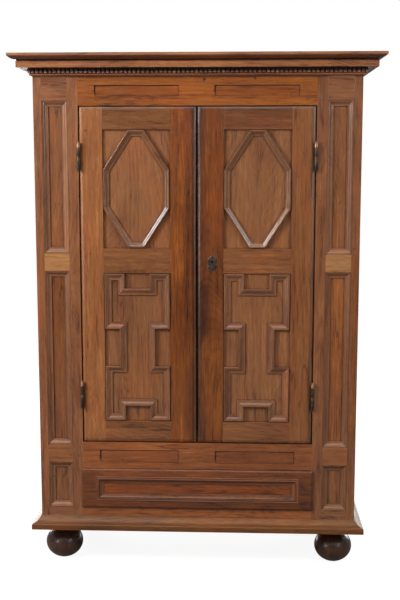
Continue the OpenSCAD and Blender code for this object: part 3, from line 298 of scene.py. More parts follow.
def year_rings(t, place):
    """Contour lines of a long smooth hill, which make arches and ovals along a board: broad
    rings, and five thin ones in each."""
    drift = t.node("ShaderNodeTexNoise", {
        "Vector": t.vector("MULTIPLY", place, (1.3, 5, 5)), "Scale": 1.0,
        "Detail": 2.0}).outputs[1]
    drift = t.vector("MULTIPLY", t.vector("SUBTRACT", drift, (0.5, 0.5, 0.5)), (0, 0.03, 0.03))
    wandering = t.vector("ADD", place, drift)
    hill = t.cloud(wandering, (0.6, 4.6, 4.6), 1.0, 0.4)
    count = t.maths("MULTIPLY_ADD", hill, 17.0,
                    t.maths("MULTIPLY", t.parts(wandering)[1], 24.0))
    broad = t.steps(t.maths("FRACT", count), (0, .3), (.12, .68), (.55, .58), (.86, .1), (1, .3))
    thin = t.steps(t.maths("FRACT", t.maths("MULTIPLY", count, 5.0)),
                   (0, .35), (.2, .7), (.7, .55), (.92, .15), (1, .35))
    return broad, thin


def hairline_cracks(t, place):
    """Thin lines along the grain, open only here and there."""
    line = t.maths("ABSOLUTE", t.maths("SUBTRACT", t.cloud(place, (1.7, 30, 30), 2.0), 0.5))
    open_here = t.fade(t.cloud(place, (3.1, 5.3, 5.3), 1.0), 0.56, 0.62)
    return t.maths("MULTIPLY", t.fade(line, 0.014, 0.004), open_here)


def wood_figure():
    """Sawn wood: year rings, broad streaks, short flecks, fine fibres, open pores and a few
    hairline cracks, all drawn out along the grain, over slow changes of shade and hue."""
    group = bpy.data.node_groups.new("wood_figure", "ShaderNodeTree")
    for name, kind in (("Place", "Vector"), ("Board", "Float"), ("Dark", "Color"),
                       ("Middle", "Color"), ("Light", "Color"), ("Arches", "Float"),
                       ("Streaks", "Float"), ("Patches", "Float")):
        group.interface.new_socket(name=name, in_out="INPUT", socket_type="NodeSocket" + kind)
    for name, kind in (("Color", "Color"), ("Height", "Float"), ("Gloss", "Float")):
        group.interface.new_socket(name=name, in_out="OUTPUT", socket_type="NodeSocket" + kind)
    t = Tree(group)
    given = t.node("NodeGroupInput").outputs
    shift = t.node("ShaderNodeCombineXYZ", {
        i: t.maths("MULTIPLY", given["Board"], far)
        for i, far in enumerate((7.13, 3.71, 5.37))}).outputs[0]
    place = t.vector("ADD", given["Place"], shift)
    broad, thin = year_rings(t, place)
    streak = t.fade(t.cloud(place, (2.2, 55, 55), 5.0, 0.66), 0.32, 0.68)
    fibre = t.cloud(place, (7, 380, 380), 2.0, 0.6)
    fleck = t.cloud(place, (19, 150, 150), 2.0, 0.55)
    patch = t.cloud(place, (3.2, 8.5, 8.5), 3.0, 0.55)
    value = 0.5
    for layer, weight in ((broad, given["Arches"]), (streak, given["Streaks"]), (thin, 0.32),
                          (fibre, 0.8), (fleck, 0.75), (patch, 0.8)):
        value = t.add_swing(value, layer, weight)
    colour = t.blend(t.fade(value, 0.0, 0.5), given["Dark"], given["Middle"])
    colour = t.blend(t.fade(value, 0.5, 1.0), colour, given["Light"])
    hue = t.cloud(place, (2.4, 6.1, 6.1), 3.0, 0.6)
    low = t.maths("MULTIPLY", t.fade(hue, 0.48, 0.32), given["Patches"])
    high = t.maths("MULTIPLY", t.fade(hue, 0.52, 0.68), given["Patches"])
    pore = t.fade(t.cloud(place, (34, 1300, 1300), 1.0), 0.60, 0.70)
    crack = hairline_cracks(t, place)
    for share, tint in ((low, (0.74, 0.68, 0.82, 1)), (high, (1.20, 0.96, 0.68, 1)),
                        (t.maths("MULTIPLY", pore, 0.45), (0.25, 0.20, 0.17, 1)),
                        (t.maths("MULTIPLY", crack, 0.55), (0.22, 0.16, 0.13, 1))):
        colour = t.blend(share, colour, tint, "MULTIPLY")
    height = t.maths("SUBTRACT", t.maths("MULTIPLY_ADD", thin, 0.35, fibre), pore)
    height = t.maths("SUBTRACT", height, t.maths("MULTIPLY", crack, 0.5))
    gloss = t.maths("MULTIPLY_ADD", hue, 0.5, t.maths("MULTIPLY", pore, 0.35))
    t.node("NodeGroupOutput", {"Color": colour, "Height": height, "Gloss": gloss})
    return group


FIGURE = wood_figure()
AXES = {"x": (0, 2, 1), "y": (1, 0, 2), "z": (2, 0, 1), "zy": (2, 1, 0), "xy": (0, 1, 2)}


def new_finish(name):
    """An empty material, its node tree and each point's place on the press."""
    material = bpy.data.materials.new(name)
    material.use_nodes = True
    t = Tree(material.node_tree)
    return material, t, t.node("ShaderNodeTexCoord").outputs["Object"]


def place_in_board(t, at, name, grain, cuts):
    """Where a point lies in its board, along the grain first, and the board's own number. A
    new piece carries both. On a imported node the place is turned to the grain, and each cut
    that the point lies beyond changes the number."""
    if grain == "piece":
        return (t.node("ShaderNodeAttribute", attribute_name="wood").outputs["Vector"],
                t.node("ShaderNodeAttribute", attribute_name="board").outputs["Fac"])
    xyz = t.parts(at)
    place = t.node("ShaderNodeCombineXYZ",
                   {i: xyz[axis] for i, axis in enumerate(AXES[grain])}).outputs[0]
    number = 0.37 + 0.11 * (sum(map(ord, name)) % 17)
    for i, (axis, value) in enumerate(cuts):
        beyond = t.maths("GREATER_THAN", xyz["XYZ".index(axis)], value)
        number = t.maths("MULTIPLY_ADD", beyond, 1.7 + 2.3 * i, number)
    return place, t.node("ShaderNodeTexWhiteNoise", {"W": number},
                         noise_dimensions="1D").outputs[0]


def edge_turn(t, radius, flat, turned_away):
    """0 on a flat face and 1 on an edge, from how far the normal turns within a radius: the
    dot product of the softened and the true normal falls from flat to turned_away."""
    softened = t.node("ShaderNodeBevel", {"Radius": radius}, samples=4).outputs[0]
    face = t.node("ShaderNodeNewGeometry").outputs["Normal"]
    return t.fade(t.vector("DOT_PRODUCT", softened, face), flat, turned_away)


def shading_dirt_and_wear(t, at, colour, hollow_shade_and_dirt, edge_wear_and_light, light):
    """Painted shade with dirt in hollows and darker corners, edges rubbed pale in places, wear
    that also paints their highlights, and a few dark specks.
    """
    near = t.node("ShaderNodeAmbientOcclusion", {"Distance": 0.008}, samples=5).outputs["AO"]
    close = t.node("ShaderNodeAmbientOcclusion", {"Distance": 0.0038}, samples=5).outputs["AO"]
    # Painted shade with dirt: hollows and corners darken as more of the piece is near
    hollow = t.maths("MULTIPLY", t.fade(near, 0.85, 0.30), hollow_shade_and_dirt)
    colour = t.blend(hollow, colour, (0.62, 0.52, 0.47, 1), "MULTIPLY")
    corner = t.maths("MULTIPLY", t.fade(close, 0.80, 0.50), hollow_shade_and_dirt)
    colour = t.blend(corner, colour, (0.10, 0.06, 0.05, 1), "MULTIPLY")
    # Pale rubbed edges: wear, which also paints the edges' highlights
    rubbed = t.maths("MULTIPLY", edge_turn(t, 0.0016, 0.985, 0.86), near)
    scuff = t.fade(t.cloud(at, (31, 31, 31), 3.0), 0.38, 0.62, 0.3, 1.0)
    rubbed = t.maths("MULTIPLY", t.maths("MULTIPLY", rubbed, scuff), edge_wear_and_light)
    colour = t.blend(rubbed, colour, tone(*(min(255, c * 1.18) for c in light)))
    speck = t.fade(t.cloud(at, (75, 75, 75), 1.0), 0.735, 0.79)
    return t.blend(t.maths("MULTIPLY", speck, 0.6), colour, tone(44, 26, 18))


def dark_spots(t, at, colour, spots):
    """Round dark marks with soft edges."""
    for x, y, z, radius in spots:
        away = t.vector("DISTANCE", at, (x, y, z))
        mark = t.fade(away, radius * 1.8, radius * 0.5, 0, 0.85)
        colour = t.blend(mark, colour, tone(38, 22, 16))
    return colour


def belts_stains_and_shading(t, at, colour, bands, stains_and_shading):
    """Belts across the whole node, and rectangles on the front, both with ragged soft edges. They
    carry stains and dirt, and painted shade, shadow, light and sheen.
    """
    xyz = t.parts(at)
    ragged = t.maths("MULTIPLY", t.maths("SUBTRACT", t.cloud(at, (14, 14, 14), 3.0), 0.5), 0.5)
    for axis, low, high, tint in bands:
        soft = (high - low) * 0.3
        here = t.maths("MULTIPLY_ADD", ragged, high - low, xyz["XYZ".index(axis)])
        inside = t.maths("MULTIPLY", t.fade(here, low - soft, low + soft),
                         t.fade(here, high + soft, high - soft))
        colour = t.blend(inside, colour, (*tint, 1), "MULTIPLY")
    for left, right, low, high, soft, tint in stains_and_shading:
        inside = 1.0
        for start, end, axis in ((left, right, 0), (low, high, 2)):
            here = t.maths("MULTIPLY_ADD", ragged, soft, xyz[axis])
            away = t.maths("ABSOLUTE", t.maths("SUBTRACT", here, (start + end) / 2))
            half = (end - start) / 2
            inside = t.maths("MULTIPLY", t.fade(away, half + soft / 2, half - soft / 2), inside)
        colour = t.blend(inside, colour, (*tint, 1), "MULTIPLY")
    return colour


def wood(name, grain, dark, middle, light, arches=0.20, streaks=0.28, patches=0.6, cuts=(),
         rough=0.24, coat=0.4, coat_rough=0.16, hollow_shade_and_dirt=0.85, edge_wear_and_light=0.35, spots=(), bands=(),
         stains_and_shading=()):
    """A wooden finish. grain is the axis that the grain follows, or "piece" for a piece with
    its own place in the wood. cuts are (axis, value) planes between the boards of a node, so
    that each board gets its own figure and shade. spots are knots and nail marks: x, y, z,
    radius. bands are belts of tint, dirt or painted light and shade: axis, from, to, tint. The
    rectangles on the front are stains or painted light and shade: from and to along x, from
    and to in height, softness of the edge, tint. The darkening of hollows and corners is
    painted shade with dirt, and the pale rubbed edges are wear that also paints their
    highlights."""
    material, t, at = new_finish(name)
    place, board = place_in_board(t, at, name, grain, cuts)
    figure = t.node("ShaderNodeGroup", {
        "Place": place, "Board": board, "Dark": tone(*dark), "Middle": tone(*middle),
        "Light": tone(*light), "Arches": arches, "Streaks": streaks, "Patches": patches},
        node_tree=FIGURE)
    colour, height, gloss = figure.outputs
    shade = t.fade(board, 0, 1, 0.90, 1.10)
    grey = t.node("ShaderNodeCombineXYZ", {0: shade, 1: shade, 2: shade}).outputs[0]
    colour = t.blend(1.0, colour, grey, "MULTIPLY")
    colour = shading_dirt_and_wear(t, at, colour, hollow_shade_and_dirt, edge_wear_and_light, light)
    colour = dark_spots(t, at, colour, spots)
    colour = belts_stains_and_shading(t, at, colour, bands, stains_and_shading)
    swell = t.cloud(at, (9, 9, 9), 2.0)
    bump = t.node("ShaderNodeBump", {"Strength": 0.5, "Distance": 0.0005,
                                     "Height": t.maths("MULTIPLY_ADD", swell, 1.2, height)})
    shader = t.node("ShaderNodeBsdfPrincipled", {
        "Base Color": colour, "Roughness": t.maths("ADD", rough - 0.2, gloss),
        "Specular IOR Level": 0.4, "Coat Weight": coat, "Coat Roughness": coat_rough,
        "Normal": bump.outputs[0]})
    t.node("ShaderNodeOutputMaterial", {0: shader.outputs[0]})
    return material


def metal(name, dark, middle, light, shine, rough, dull=()):
    """Forged iron: a dark skin with brown bloom in patches, and bright metal where it rubs.
    dull are belts of dry brown rust: from and to in height, tint."""
    material, t, at = new_finish(name)
    skin = t.cloud(at, (55, 55, 55), 4.0, 0.6)
    bloom = t.fade(t.cloud(at, (17, 17, 23), 3.0), 0.50, 0.66)
    pits = t.cloud(at, (420, 420, 420), 2.0)
    colour = t.blend(t.fade(skin, 0.3, 0.7), tone(*dark), tone(*middle))
    colour = t.blend(t.maths("MULTIPLY", bloom, 0.5), colour, tone(84, 50, 32))
    rubbed = t.maths("MULTIPLY", edge_turn(t, 0.0012, 0.99, 0.84),
                     t.fade(skin, 0.35, 0.6, 0.2, 0.7))
    colour = t.blend(rubbed, colour, tone(*light))
    level = t.parts(at)[2]
    for low, high, tint in dull:
        belt = t.maths("MULTIPLY", t.fade(level, low - 0.003, low + 0.003),
                       t.fade(level, high + 0.003, high - 0.003))
        colour = t.blend(t.maths("MULTIPLY", belt, 0.8), colour, tone(*tint))
    height = t.maths("MULTIPLY_ADD", pits, 0.6, skin)
    bump = t.node("ShaderNodeBump", {"Strength": 0.6, "Distance": 0.0004, "Height": height})
    roughness = t.maths("MULTIPLY_ADD", skin, 0.35, t.maths("MULTIPLY_ADD", bloom, 0.15, rough))
    shader = t.node("ShaderNodeBsdfPrincipled", {
        "Base Color": colour, "Metallic": shine, "Roughness": roughness,
        "Normal": bump.outputs[0]})
    t.node("ShaderNodeOutputMaterial", {0: shader.outputs[0]})
    return material


# The press's own finishes

LEFT_AND_RIGHT = (("X", 0.0),)
SHADOW = (.30, .22, .18)
FAINT_SHADOW = (.62, .52, .48)
# A bluish lightening that paints a sheen on edges and tops
PAINTED_SHEEN = (.78, .92, 1.25)
# Painted shade on what lies just behind the front face: the rails' sunk fields and their walls
SUNK_FIELD_SHADE = ("Y", FRONT_Y + 0.0008, FRONT_Y + 0.007, (.82, .76, .74))
# Painted sheen along the tops of the doors
DOOR_TOP_SHEEN = (DOOR_TOP_Z - 0.010, DOOR_TOP_Z + 0.0115, 0.006, PAINTED_SHEEN)
DOOR_HEIGHT = (0.4, 1.8)
RAIL_FIELD_X = 0.216


def belt(level, low, high, tint):
    """A band of tint, dirt or painted light and shade, that lies low to high, in millimetres,
    above a level.
    """
    return "Z", level + low * MM, level + high * MM, tint


def joint_lines(axis, places, tint):
    """Dark bands along the joints between boards."""
    return tuple((axis, place - 0.0016, place + 0.0016, tint) for place in places)


def panel_shadows(reach, low, high):
    """Dark lines along the tops and the left ends of the two sunk fields of a rail, and faint
    ones at their right ends. reach is half a field's length."""
    lines = []
    for middle in (-RAIL_FIELD_X, RAIL_FIELD_X):
        left, right = middle - reach, middle + reach
        lines += [(left, right, high - 0.0036, high, 0.002, SHADOW),
                  (left - 0.002, left + 0.0035, low + 0.012, high, 0.003, SHADOW),
                  (right - 0.003, right, low + 0.004, high, 0.003, FAINT_SHADOW)]
    return tuple(lines)


# Painted shadow in a band just below the bead
SHADOW_UNDER_BEAD = belt(BEAD_Z, -5, 2, (.42, .32, .24))
BACK_BOARDS, BACK_BOARD_W, BACK_LAP = 7, 0.15991, 0.006
BACK_JOINTS = tuple(ends("back_boards", "x")[0] + BACK_LAP + BACK_BOARD_W * i
                    for i in range(1, BACK_BOARDS))
TOP_JOINTS = (-0.0471, 0.1155)

# The left post's upper part is painted lighter and bluer, a painted sheen; the right post is more
# orange from 0.5 to 1.2 up
stile_oak = wood("stile_oak", "z", (74, 41, 23), (125, 76, 44), (150, 98, 60),
                 cuts=LEFT_AND_RIGHT, bands=(SHADOW_UNDER_BEAD,),
                 stains_and_shading=((-0.61, -0.558, 1.3, 1.86, 0.03, (1.14, 1.20, 1.30)),
                         (0.555, 0.61, 0.5, 1.2, 0.05, (1.0, .90, .74))))
side_oak = wood("side_oak", "zy", (74, 40, 25), (126, 77, 48), (156, 100, 64), arches=0.3,
                cuts=LEFT_AND_RIGHT + (("Z", 1.15), ("Y", 0.03), ("Y", 0.26)))
side_rail_oak = wood("side_rail_oak", "y", (72, 38, 23), (122, 74, 45), (152, 96, 60),
                     cuts=LEFT_AND_RIGHT + (("Z", 0.7), ("Z", 1.4)))
frieze_oak = wood("frieze_oak", "x", (77, 36, 9), (135, 74, 24), (158, 95, 34),
                  spots=((0.027, FRONT_Y, 1.812, 0.005), (0.207, FRONT_Y, 1.815, 0.004)),
                  bands=(SUNK_FIELD_SHADE, SHADOW_UNDER_BEAD),
                  stains_and_shading=panel_shadows(0.1515, 1.752, 1.792))
rail_oak = wood("rail_oak", "x", (77, 39, 17), (137, 77, 36), (170, 99, 49),
                cuts=(("Z", 0.3),), bands=(SUNK_FIELD_SHADE,),
                stains_and_shading=panel_shadows(0.1475, 0.3995, 0.4475))
pilaster_rail_oak = wood("pilaster_rail_oak", "x", (75, 43, 23), (127, 80, 49), (150, 102, 66),
                         cuts=LEFT_AND_RIGHT + (("Z", 1.0),))
block_oak = wood("block_oak", "x", (108, 68, 37), (156, 107, 62), (180, 130, 82),
                 cuts=LEFT_AND_RIGHT + (("Z", 0.8),),
                 bands=(("Z", 0.38, 0.48, (.64, .50, .44)),))
pilaster_panel_oak = wood("pilaster_panel_oak", "z", (67, 35, 16), (117, 71, 38),
                          (141, 91, 53), cuts=LEFT_AND_RIGHT + (("Z", 0.43), ("Z", 1.15)),
                          stains_and_shading=((-0.6, -0.45, 0.44, 1.14, 0.05, (.82, .74, .66)),
                                  (0.45, 0.6, 0.44, 1.14, 0.05, (1.30, 1.18, .92))))
# Painted sheen along the tops of the doors and along the right door's hinge edge
door_oak = wood("door_oak", "z", (70, 38, 18), (127, 76, 39), (152, 99, 53),
                cuts=LEFT_AND_RIGHT,
                stains_and_shading=((-0.44, -0.25, *DOOR_TOP_SHEEN), (0.25, 0.44, *DOOR_TOP_SHEEN),
                        (0.413, 0.44, *DOOR_HEIGHT, 0.006, PAINTED_SHEEN)))

# Where the doors meet: darker towards the meeting edges, painted shade in the gap between them,
# a painted bluish sheen along those edges and the tops, a smudge from handling under the
# keyhole, rubbed brighter towards the panels and at the foot
meeting_oak = wood("meeting_oak", "z", (50, 23, 6), (103, 53, 17), (138, 75, 26),
                   cuts=LEFT_AND_RIGHT, patches=0.9,
                   bands=(("X", 0.001, 0.036, (.70, .66, .76)),
                          ("X", -0.0195, -0.0105, (.66, .60, .54)),
                          ("X", -0.0018, 0.0078, (.34, .30, .28))),
                   stains_and_shading=((-0.060, 0.16, *DOOR_TOP_SHEEN),
                           (-0.016, 0.016, *DOOR_HEIGHT, 0.006, (.82, 1.0, 1.4)),
                           (-0.14, -0.045, *DOOR_HEIGHT, 0.03, (1.38, 1.38, 1.12)),
                           (0.03, 0.14, *DOOR_HEIGHT, 0.02, (.90, .88, .78)),
                           (0.008, 0.044, 0.88, 1.07, 0.05, (.42, .42, .50)),
                           (0.044, 0.078, 1.24, 1.66, 0.03, (1.08, 1.10, .84)),
                           (0.030, 0.110, 0.50, 0.84, 0.08, (1.22, 1.36, 1.25))))
# Painted sheen along the tops of the doors' top rails
door_rail_oak = wood("door_rail_oak", "x", (61, 33, 16), (114, 68, 35), (139, 89, 48),
                     cuts=LEFT_AND_RIGHT + (("Z", 0.86), ("Z", 1.4)),
                     stains_and_shading=((0.1, 0.36, 1.64, 1.74, 0.02, (.76, .70, .74)),
                             (-0.36, -0.27, *DOOR_TOP_SHEEN), (0.1, 0.36, *DOOR_TOP_SHEEN)))
door_panel_oak = wood("door_panel_oak", "z", (75, 42, 23), (125, 79, 46), (148, 100, 60),
                      streaks=0.16, cuts=LEFT_AND_RIGHT + (("Z", 1.16),))
# Painted shade on the drawer front's lower border
drawer_oak = wood("drawer_oak", "x", (57, 26, 7), (103, 53, 18), (131, 69, 25), arches=0.3,
                  bands=(("Z", 0.215, 0.262, (.82, .76, .76)),),
                  stains_and_shading=((-0.36, 0.36, 0.275, 0.323, 0.006, (1.40, 1.22, .86)),
                          (-0.45, -0.385, 0.2, 0.4, 0.02, (.86, .86, .92)),
                          (0.385, 0.45, 0.2, 0.4, 0.02, (.86, .86, .92))))

# New pieces: the octagons are polished most, the drawer's moulding and the base least
moulding_oak = wood("moulding_oak", "piece", (60, 34, 21), (113, 74, 48), (140, 98, 66),
                    streaks=0.2, rough=0.16, coat=0.6, coat_rough=0.11, hollow_shade_and_dirt=1.0, edge_wear_and_light=0.5)
stepped_moulding_oak = wood("stepped_moulding_oak", "piece", (66, 38, 24), (117, 75, 48),
                            (139, 94, 62), streaks=0.2, rough=0.25, coat=0.3, coat_rough=0.2,
                            hollow_shade_and_dirt=1.0, edge_wear_and_light=0.3)
pilaster_moulding_oak = wood("pilaster_moulding_oak", "piece", (84, 50, 31), (123, 80, 52),
                             (136, 93, 62), streaks=0.2, rough=0.26, coat=0.25, hollow_shade_and_dirt=0.8,
                             edge_wear_and_light=0.3)
drawer_moulding_oak = wood("drawer_moulding_oak", "piece", (64, 34, 19), (108, 63, 37),
                           (127, 80, 50), streaks=0.25, rough=0.34, coat=0.1, edge_wear_and_light=0.1)
# The cove darker, painted shade with dirt; a painted shadow under the cove on the top of the
# band; the top fillet greyer and bluer
crown_oak = wood("crown_oak", "piece", (71, 38, 20), (140, 87, 51), (166, 107, 64),
                 bands=(belt(CROWN_Z, 23.5, 39, (.41, .32, .30)),
                        belt(CROWN_Z, 20.5, 27.5, (.36, .26, .22)),
                        belt(CROWN_Z, 39.5, 59, (.88, 1.02, 1.28))))
# Painted shadow of the band over the teeth's upper parts, and painted light on their lower ends
teeth_oak = wood("teeth_oak", "piece", (69, 44, 34), (128, 87, 71), (158, 117, 95),
                 hollow_shade_and_dirt=0.6, edge_wear_and_light=0.6,
                 bands=(belt(TEETH_Z, 6, 19, (.14, .09, .07)),
                        belt(TEETH_Z, -1, 5.4, (1.45, 1.42, 1.38))))
bead_oak = wood("bead_oak", "piece", (81, 45, 25), (140, 84, 50), (170, 112, 70), edge_wear_and_light=0.2,
                bands=(belt(BEAD_Z, 7, 11, (.74, .70, .70)),))
# The upright face darker low down; painted shade on the round and the foot of the hollow above it
base_oak = wood("base_oak", "piece", (68, 38, 12), (113, 67, 21), (133, 86, 30), rough=0.36,
                coat=0.1, coat_rough=0.3, edge_wear_and_light=0.2,
                bands=(belt(BASE_Z, -12, 15, (.90, .80, .74)),
                       belt(BASE_Z, 16.5, 28.5, (.76, .70, .66))))

pine_x = wood("pine_across", "x", (104, 74, 47), (156, 120, 82), (184, 150, 108), rough=0.6,
              coat=0.0, arches=0.35)
pine_top = wood("pine_top", "xy", (98, 70, 46), (144, 110, 76), (170, 138, 100), rough=0.65,
                coat=0.0, arches=0.35, cuts=tuple(("Y", y) for y in TOP_JOINTS),
                bands=joint_lines("Y", TOP_JOINTS, (.30, .25, .22)))
pine_y = wood("pine_deep", "y", (104, 74, 47), (152, 116, 79), (182, 148, 106), rough=0.6,
              coat=0.0, arches=0.3, cuts=LEFT_AND_RIGHT + (("Z", 0.4), ("Z", 0.6)))
pine_z = wood("pine_upright", "z", (100, 71, 45), (150, 114, 77), (180, 145, 103), rough=0.6,
              coat=0.0, arches=0.35, cuts=tuple(("X", x) for x in BACK_JOINTS),
              bands=joint_lines("X", BACK_JOINTS, (.34, .28, .25)))
black_wood = wood("black_wood", "piece", (22, 11, 4), (64, 34, 15), (108, 61, 31),
                  rough=0.28, coat=0.65, coat_rough=0.2, patches=0.3, edge_wear_and_light=0.2, hollow_shade_and_dirt=0.5)
dark_iron = metal("dark_iron", (44, 38, 33), (86, 74, 62), (160, 142, 122), 0.75, 0.24,
                  dull=((1.572, 1.6, (150, 112, 84)), (0.692, 0.72, (150, 116, 88))))
bright_iron = metal("bright_iron", (72, 68, 64), (116, 110, 104), (176, 170, 162), 0.9, 0.18)

FINISHES = {
    stile_oak: ("left_corner_stile", "right_corner_stile", "left_inner_stile",
                "right_inner_stile"),
    side_oak: ("rear_posts", "side_panels"),
    side_rail_oak: ("side_rails",),
    frieze_oak: ("frieze_rail",),
    rail_oak: ("lower_rail", "bottom_rail"),
    pilaster_rail_oak: ("pilaster_rails",),
    block_oak: ("pilaster_blocks",),
    pilaster_panel_oak: ("pilaster_panels",),
    door_oak: ("left_hinge_stile", "right_hinge_stile"),
    meeting_oak: ("left_meeting_stile", "right_meeting_stile"),
    door_rail_oak: ("left_door_rails", "right_door_rails"),
    door_panel_oak: ("left_door_panels", "right_door_panels"),
    drawer_oak: ("drawer_front",),
    pine_top: ("top_boards",),
    pine_x: ("base_long_rails", "back_rails", "cupboard_floor", "shelves",
             "cornice_rear_rail", "drawer_back", "drawer_bottom", "bottom_boards"),
    pine_y: ("base_side_rails", "shelf_cleats", "drawer_runners", "drawer_sides"),
    pine_z: ("back_boards",),
    dark_iron: ("frame_hinge_leaves", "left_door_hinge_leaves", "right_door_hinge_leaves",
                "lock_case", "lock_keeper", "door_bolt_guides"),
    bright_iron: ("top_bolt", "bottom_bolt", "lock_bolt"),
}


def dress(node, material):
    """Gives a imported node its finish, and rounds its edges a little, as worn wood has them."""
    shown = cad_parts[node]
    if not shown.material_slots:
        shown.data.materials.append(material)
    for slot in shown.material_slots:
        slot.material = material
    joined = shown.modifiers.new("joined", "WELD")
    joined.merge_threshold = 0.00001
    worn = shown.modifiers.new("worn_edges", "BEVEL")
    worn.width = WORN_EDGE
    worn.segments = 2
    worn.limit_method = "ANGLE"
    worn.angle_limit = math.radians(40)
    worn.harden_normals = True


for finish, nodes in FINISHES.items():
    for name in nodes:
        dress(name, finish)


# Mouldings, with profiles and outlines in millimetres

GLUE_GAP = 0.3
CROWN = outline((-12, 0), (49, 0), (49, 24), (47, 24), bend((47, 26), (62.5, 27), (74, 38), 13),
                (76, 39), (76, 49), (36, 49), (36, 20), (-12, 20))
BEAD = outline((0, 0), (4, 0), (4, 2), bend((6, 2), (10, 2), (10, 6)),
               bend((10, 6), (10, 10), (6, 10))[1:], (0, 10))
BASE = outline((0, 0), (33.5, 0), (33.5, 16), bend((33.5, 17), (33.5, 20), (29.5, 22)),
               bend((27.5, 23), (11.17, 28), (2, 45), 13), (0, 46))
TEETH_BACKING = outline((0, 0), (6, 0), (6, 17), (0, 17))
DRAWER_BEAD = outline((0, 0), (0, 1), bend((0.6, 1), (2.2, 3), (4.4, 1.2), 7), (5, .6), (7.6, .6),
                      (8.2, 1.8), (11.4, 1.8), (12, 1.2), (12, 0))
DRAWER_BEAD_W = 12
PILASTER_OPENINGS = ((223, 398), (465, 1123), (1187, 1739))


def sunk_profile(w, drop):
    """A bead flush with the stiles, then an ogee down to the pilaster's panel."""
    return outline((GLUE_GAP, -drop), (GLUE_GAP, -1), (3, -1), (3, -3),
                   bend((3, -3), (w / 3, -3), (w / 2, -drop / 2))[1:],
                   bend((w / 2, -drop / 2), (w * 2 / 3, 4 - drop), (w - 3, 4 - drop))[1:],
                   (w, 4 - drop), (w, -drop))


def raised_profile(w, h):
    """A rounded ridge along the outer edge, a small step, and an ogee down to a low fillet."""
    return outline((0, 0), bend((0, h - 2), (0, h), (2, h), 7), (.2 * w, h),
                   bend((.2 * w, h - 1.2), (.37 * w, h - 1.6), (.5 * w, .6 * h)),
                   bend((.5 * w, .6 * h), (.62 * w, 4.2), (w - 3, 4))[1:], (w, 4), (w, 0))


def drawer_profile(w, h):
    """A fillet and a hollow down to the drawer's field."""
    return outline((GLUE_GAP, 0), (GLUE_GAP, h - 1), (2, h - 1), (2, h - 2),
                   bend((2, h - 2), (w / 3, 3), (w - 3, 2.5))[1:], (w, 2.5), (w, 0))


def rectangle(half_w, half_h):
    """The corners of a rectangle round the middle."""
    return [(-half_w, -half_h), (half_w, -half_h), (half_w, half_h), (-half_w, half_h)]


def octagon(half_w, half_h, top, side):
    """A tall octagon with long corners: its top and bottom reach top to each side of the
    middle, and its upright sides reach side above and below it."""
    return [(-top, -half_h), (top, -half_h), (half_w, -side), (half_w, side),
            (top, half_h), (-top, half_h), (-half_w, side), (-half_w, -side)]


def stepped(half_w, half_h, notch, waist, waist_w, head_h):
    """A frame with a notch in its head and foot and one in each side. The notches above and
    below are notch to each side of the middle and go in to head_h. Those at the sides are
    waist above and below it and go in to waist_w."""
    return [(-half_w, -half_h), (-notch, -half_h), (-notch, -head_h), (notch, -head_h),
            (notch, -half_h), (half_w, -half_h), (half_w, -waist), (waist_w, -waist),
            (waist_w, waist), (half_w, waist), (half_w, half_h), (notch, half_h),
            (notch, head_h), (-notch, head_h), (-notch, half_h), (-half_w, half_h),
            (-half_w, waist), (-waist_w, waist), (-waist_w, -waist), (-half_w, -waist)]


def pilaster_frames(side):
    """Three mitred frames in the openings of a pilaster, one above the other."""
    node = f"{side}_pilaster_mouldings"
    half_w = half_size(node)[0] + GLUE_GAP
    shells = []
    for low, high in PILASTER_OPENINGS:
        middle = front_middle(node, FRONT_Y)
        middle[2] = (low + high) / 2 * MM
        shells += mitred_loop(rectangle(half_w, (high - low) / 2), sunk_profile(w=22, drop=16),
                              middle)
    piece(f"{side}_pilaster_frames", shells, pilaster_moulding_oak, "carcass", (node,))


def door_mouldings(side):
    """The octagon and the stepped frame on the faces of a door's two panels."""
    node = f"{side}_octagon_moulding"
    path = octagon(*half_size(node), top=29, side=70)
    shells = mitred_loop(path, raised_profile(w=21, h=13), front_middle(node, DOOR_PANEL_Y))
    piece(f"{side}_octagon", shells, moulding_oak, f"{side}_door", (node,))
    node = f"{side}_stepped_moulding"
    path = stepped(*half_size(node), notch=46, waist=70, waist_w=66, head_h=220.5)
    shells = mitred_loop(path, raised_profile(w=25, h=12), front_middle(node, DOOR_PANEL_Y))
    piece(f"{side}_stepped_frame", shells, stepped_moulding_oak, f"{side}_door", (node,))


def drawer_frame():
    """The moulding round the drawer's sunk field, and a low bead round it on the face."""
    half_w, half_h = (half + GLUE_GAP for half in half_size("drawer_moulding"))
    return (mitred_loop(rectangle(half_w, half_h), drawer_profile(w=17, h=10),
                        front_middle("drawer_moulding", DRAWER_FIELD_Y))
            + mitred_loop(rectangle(half_w + DRAWER_BEAD_W, half_h + DRAWER_BEAD_W),
                          DRAWER_BEAD, front_middle("drawer_moulding", DRAWER_FACE_Y)))


piece("crown", around_carcass(CROWN, CROWN_Z), crown_oak, "carcass",
      ("cornice_front", "cornice_returns"))
piece("bead", around_carcass(BEAD, BEAD_Z), bead_oak, "carcass", ("bed_moulding",))
piece("base", around_carcass(BASE, BASE_Z), base_oak, "carcass",
      ("base_moulding_front", "base_moulding_returns"))
for side in ("left", "right"):
    pilaster_frames(side)
    door_mouldings(side)
piece("drawer_frame", drawer_frame(), drawer_moulding_oak, "drawer", ("drawer_moulding",))


# Toothed course

FRONT_TEETH, SIDE_TEETH = 75, 33
TOOTH_W = 9
TOOTH_BACK = round(ends("dentil_course", "x")[1] - BODY_X - TOOTH_W * MM, 5)


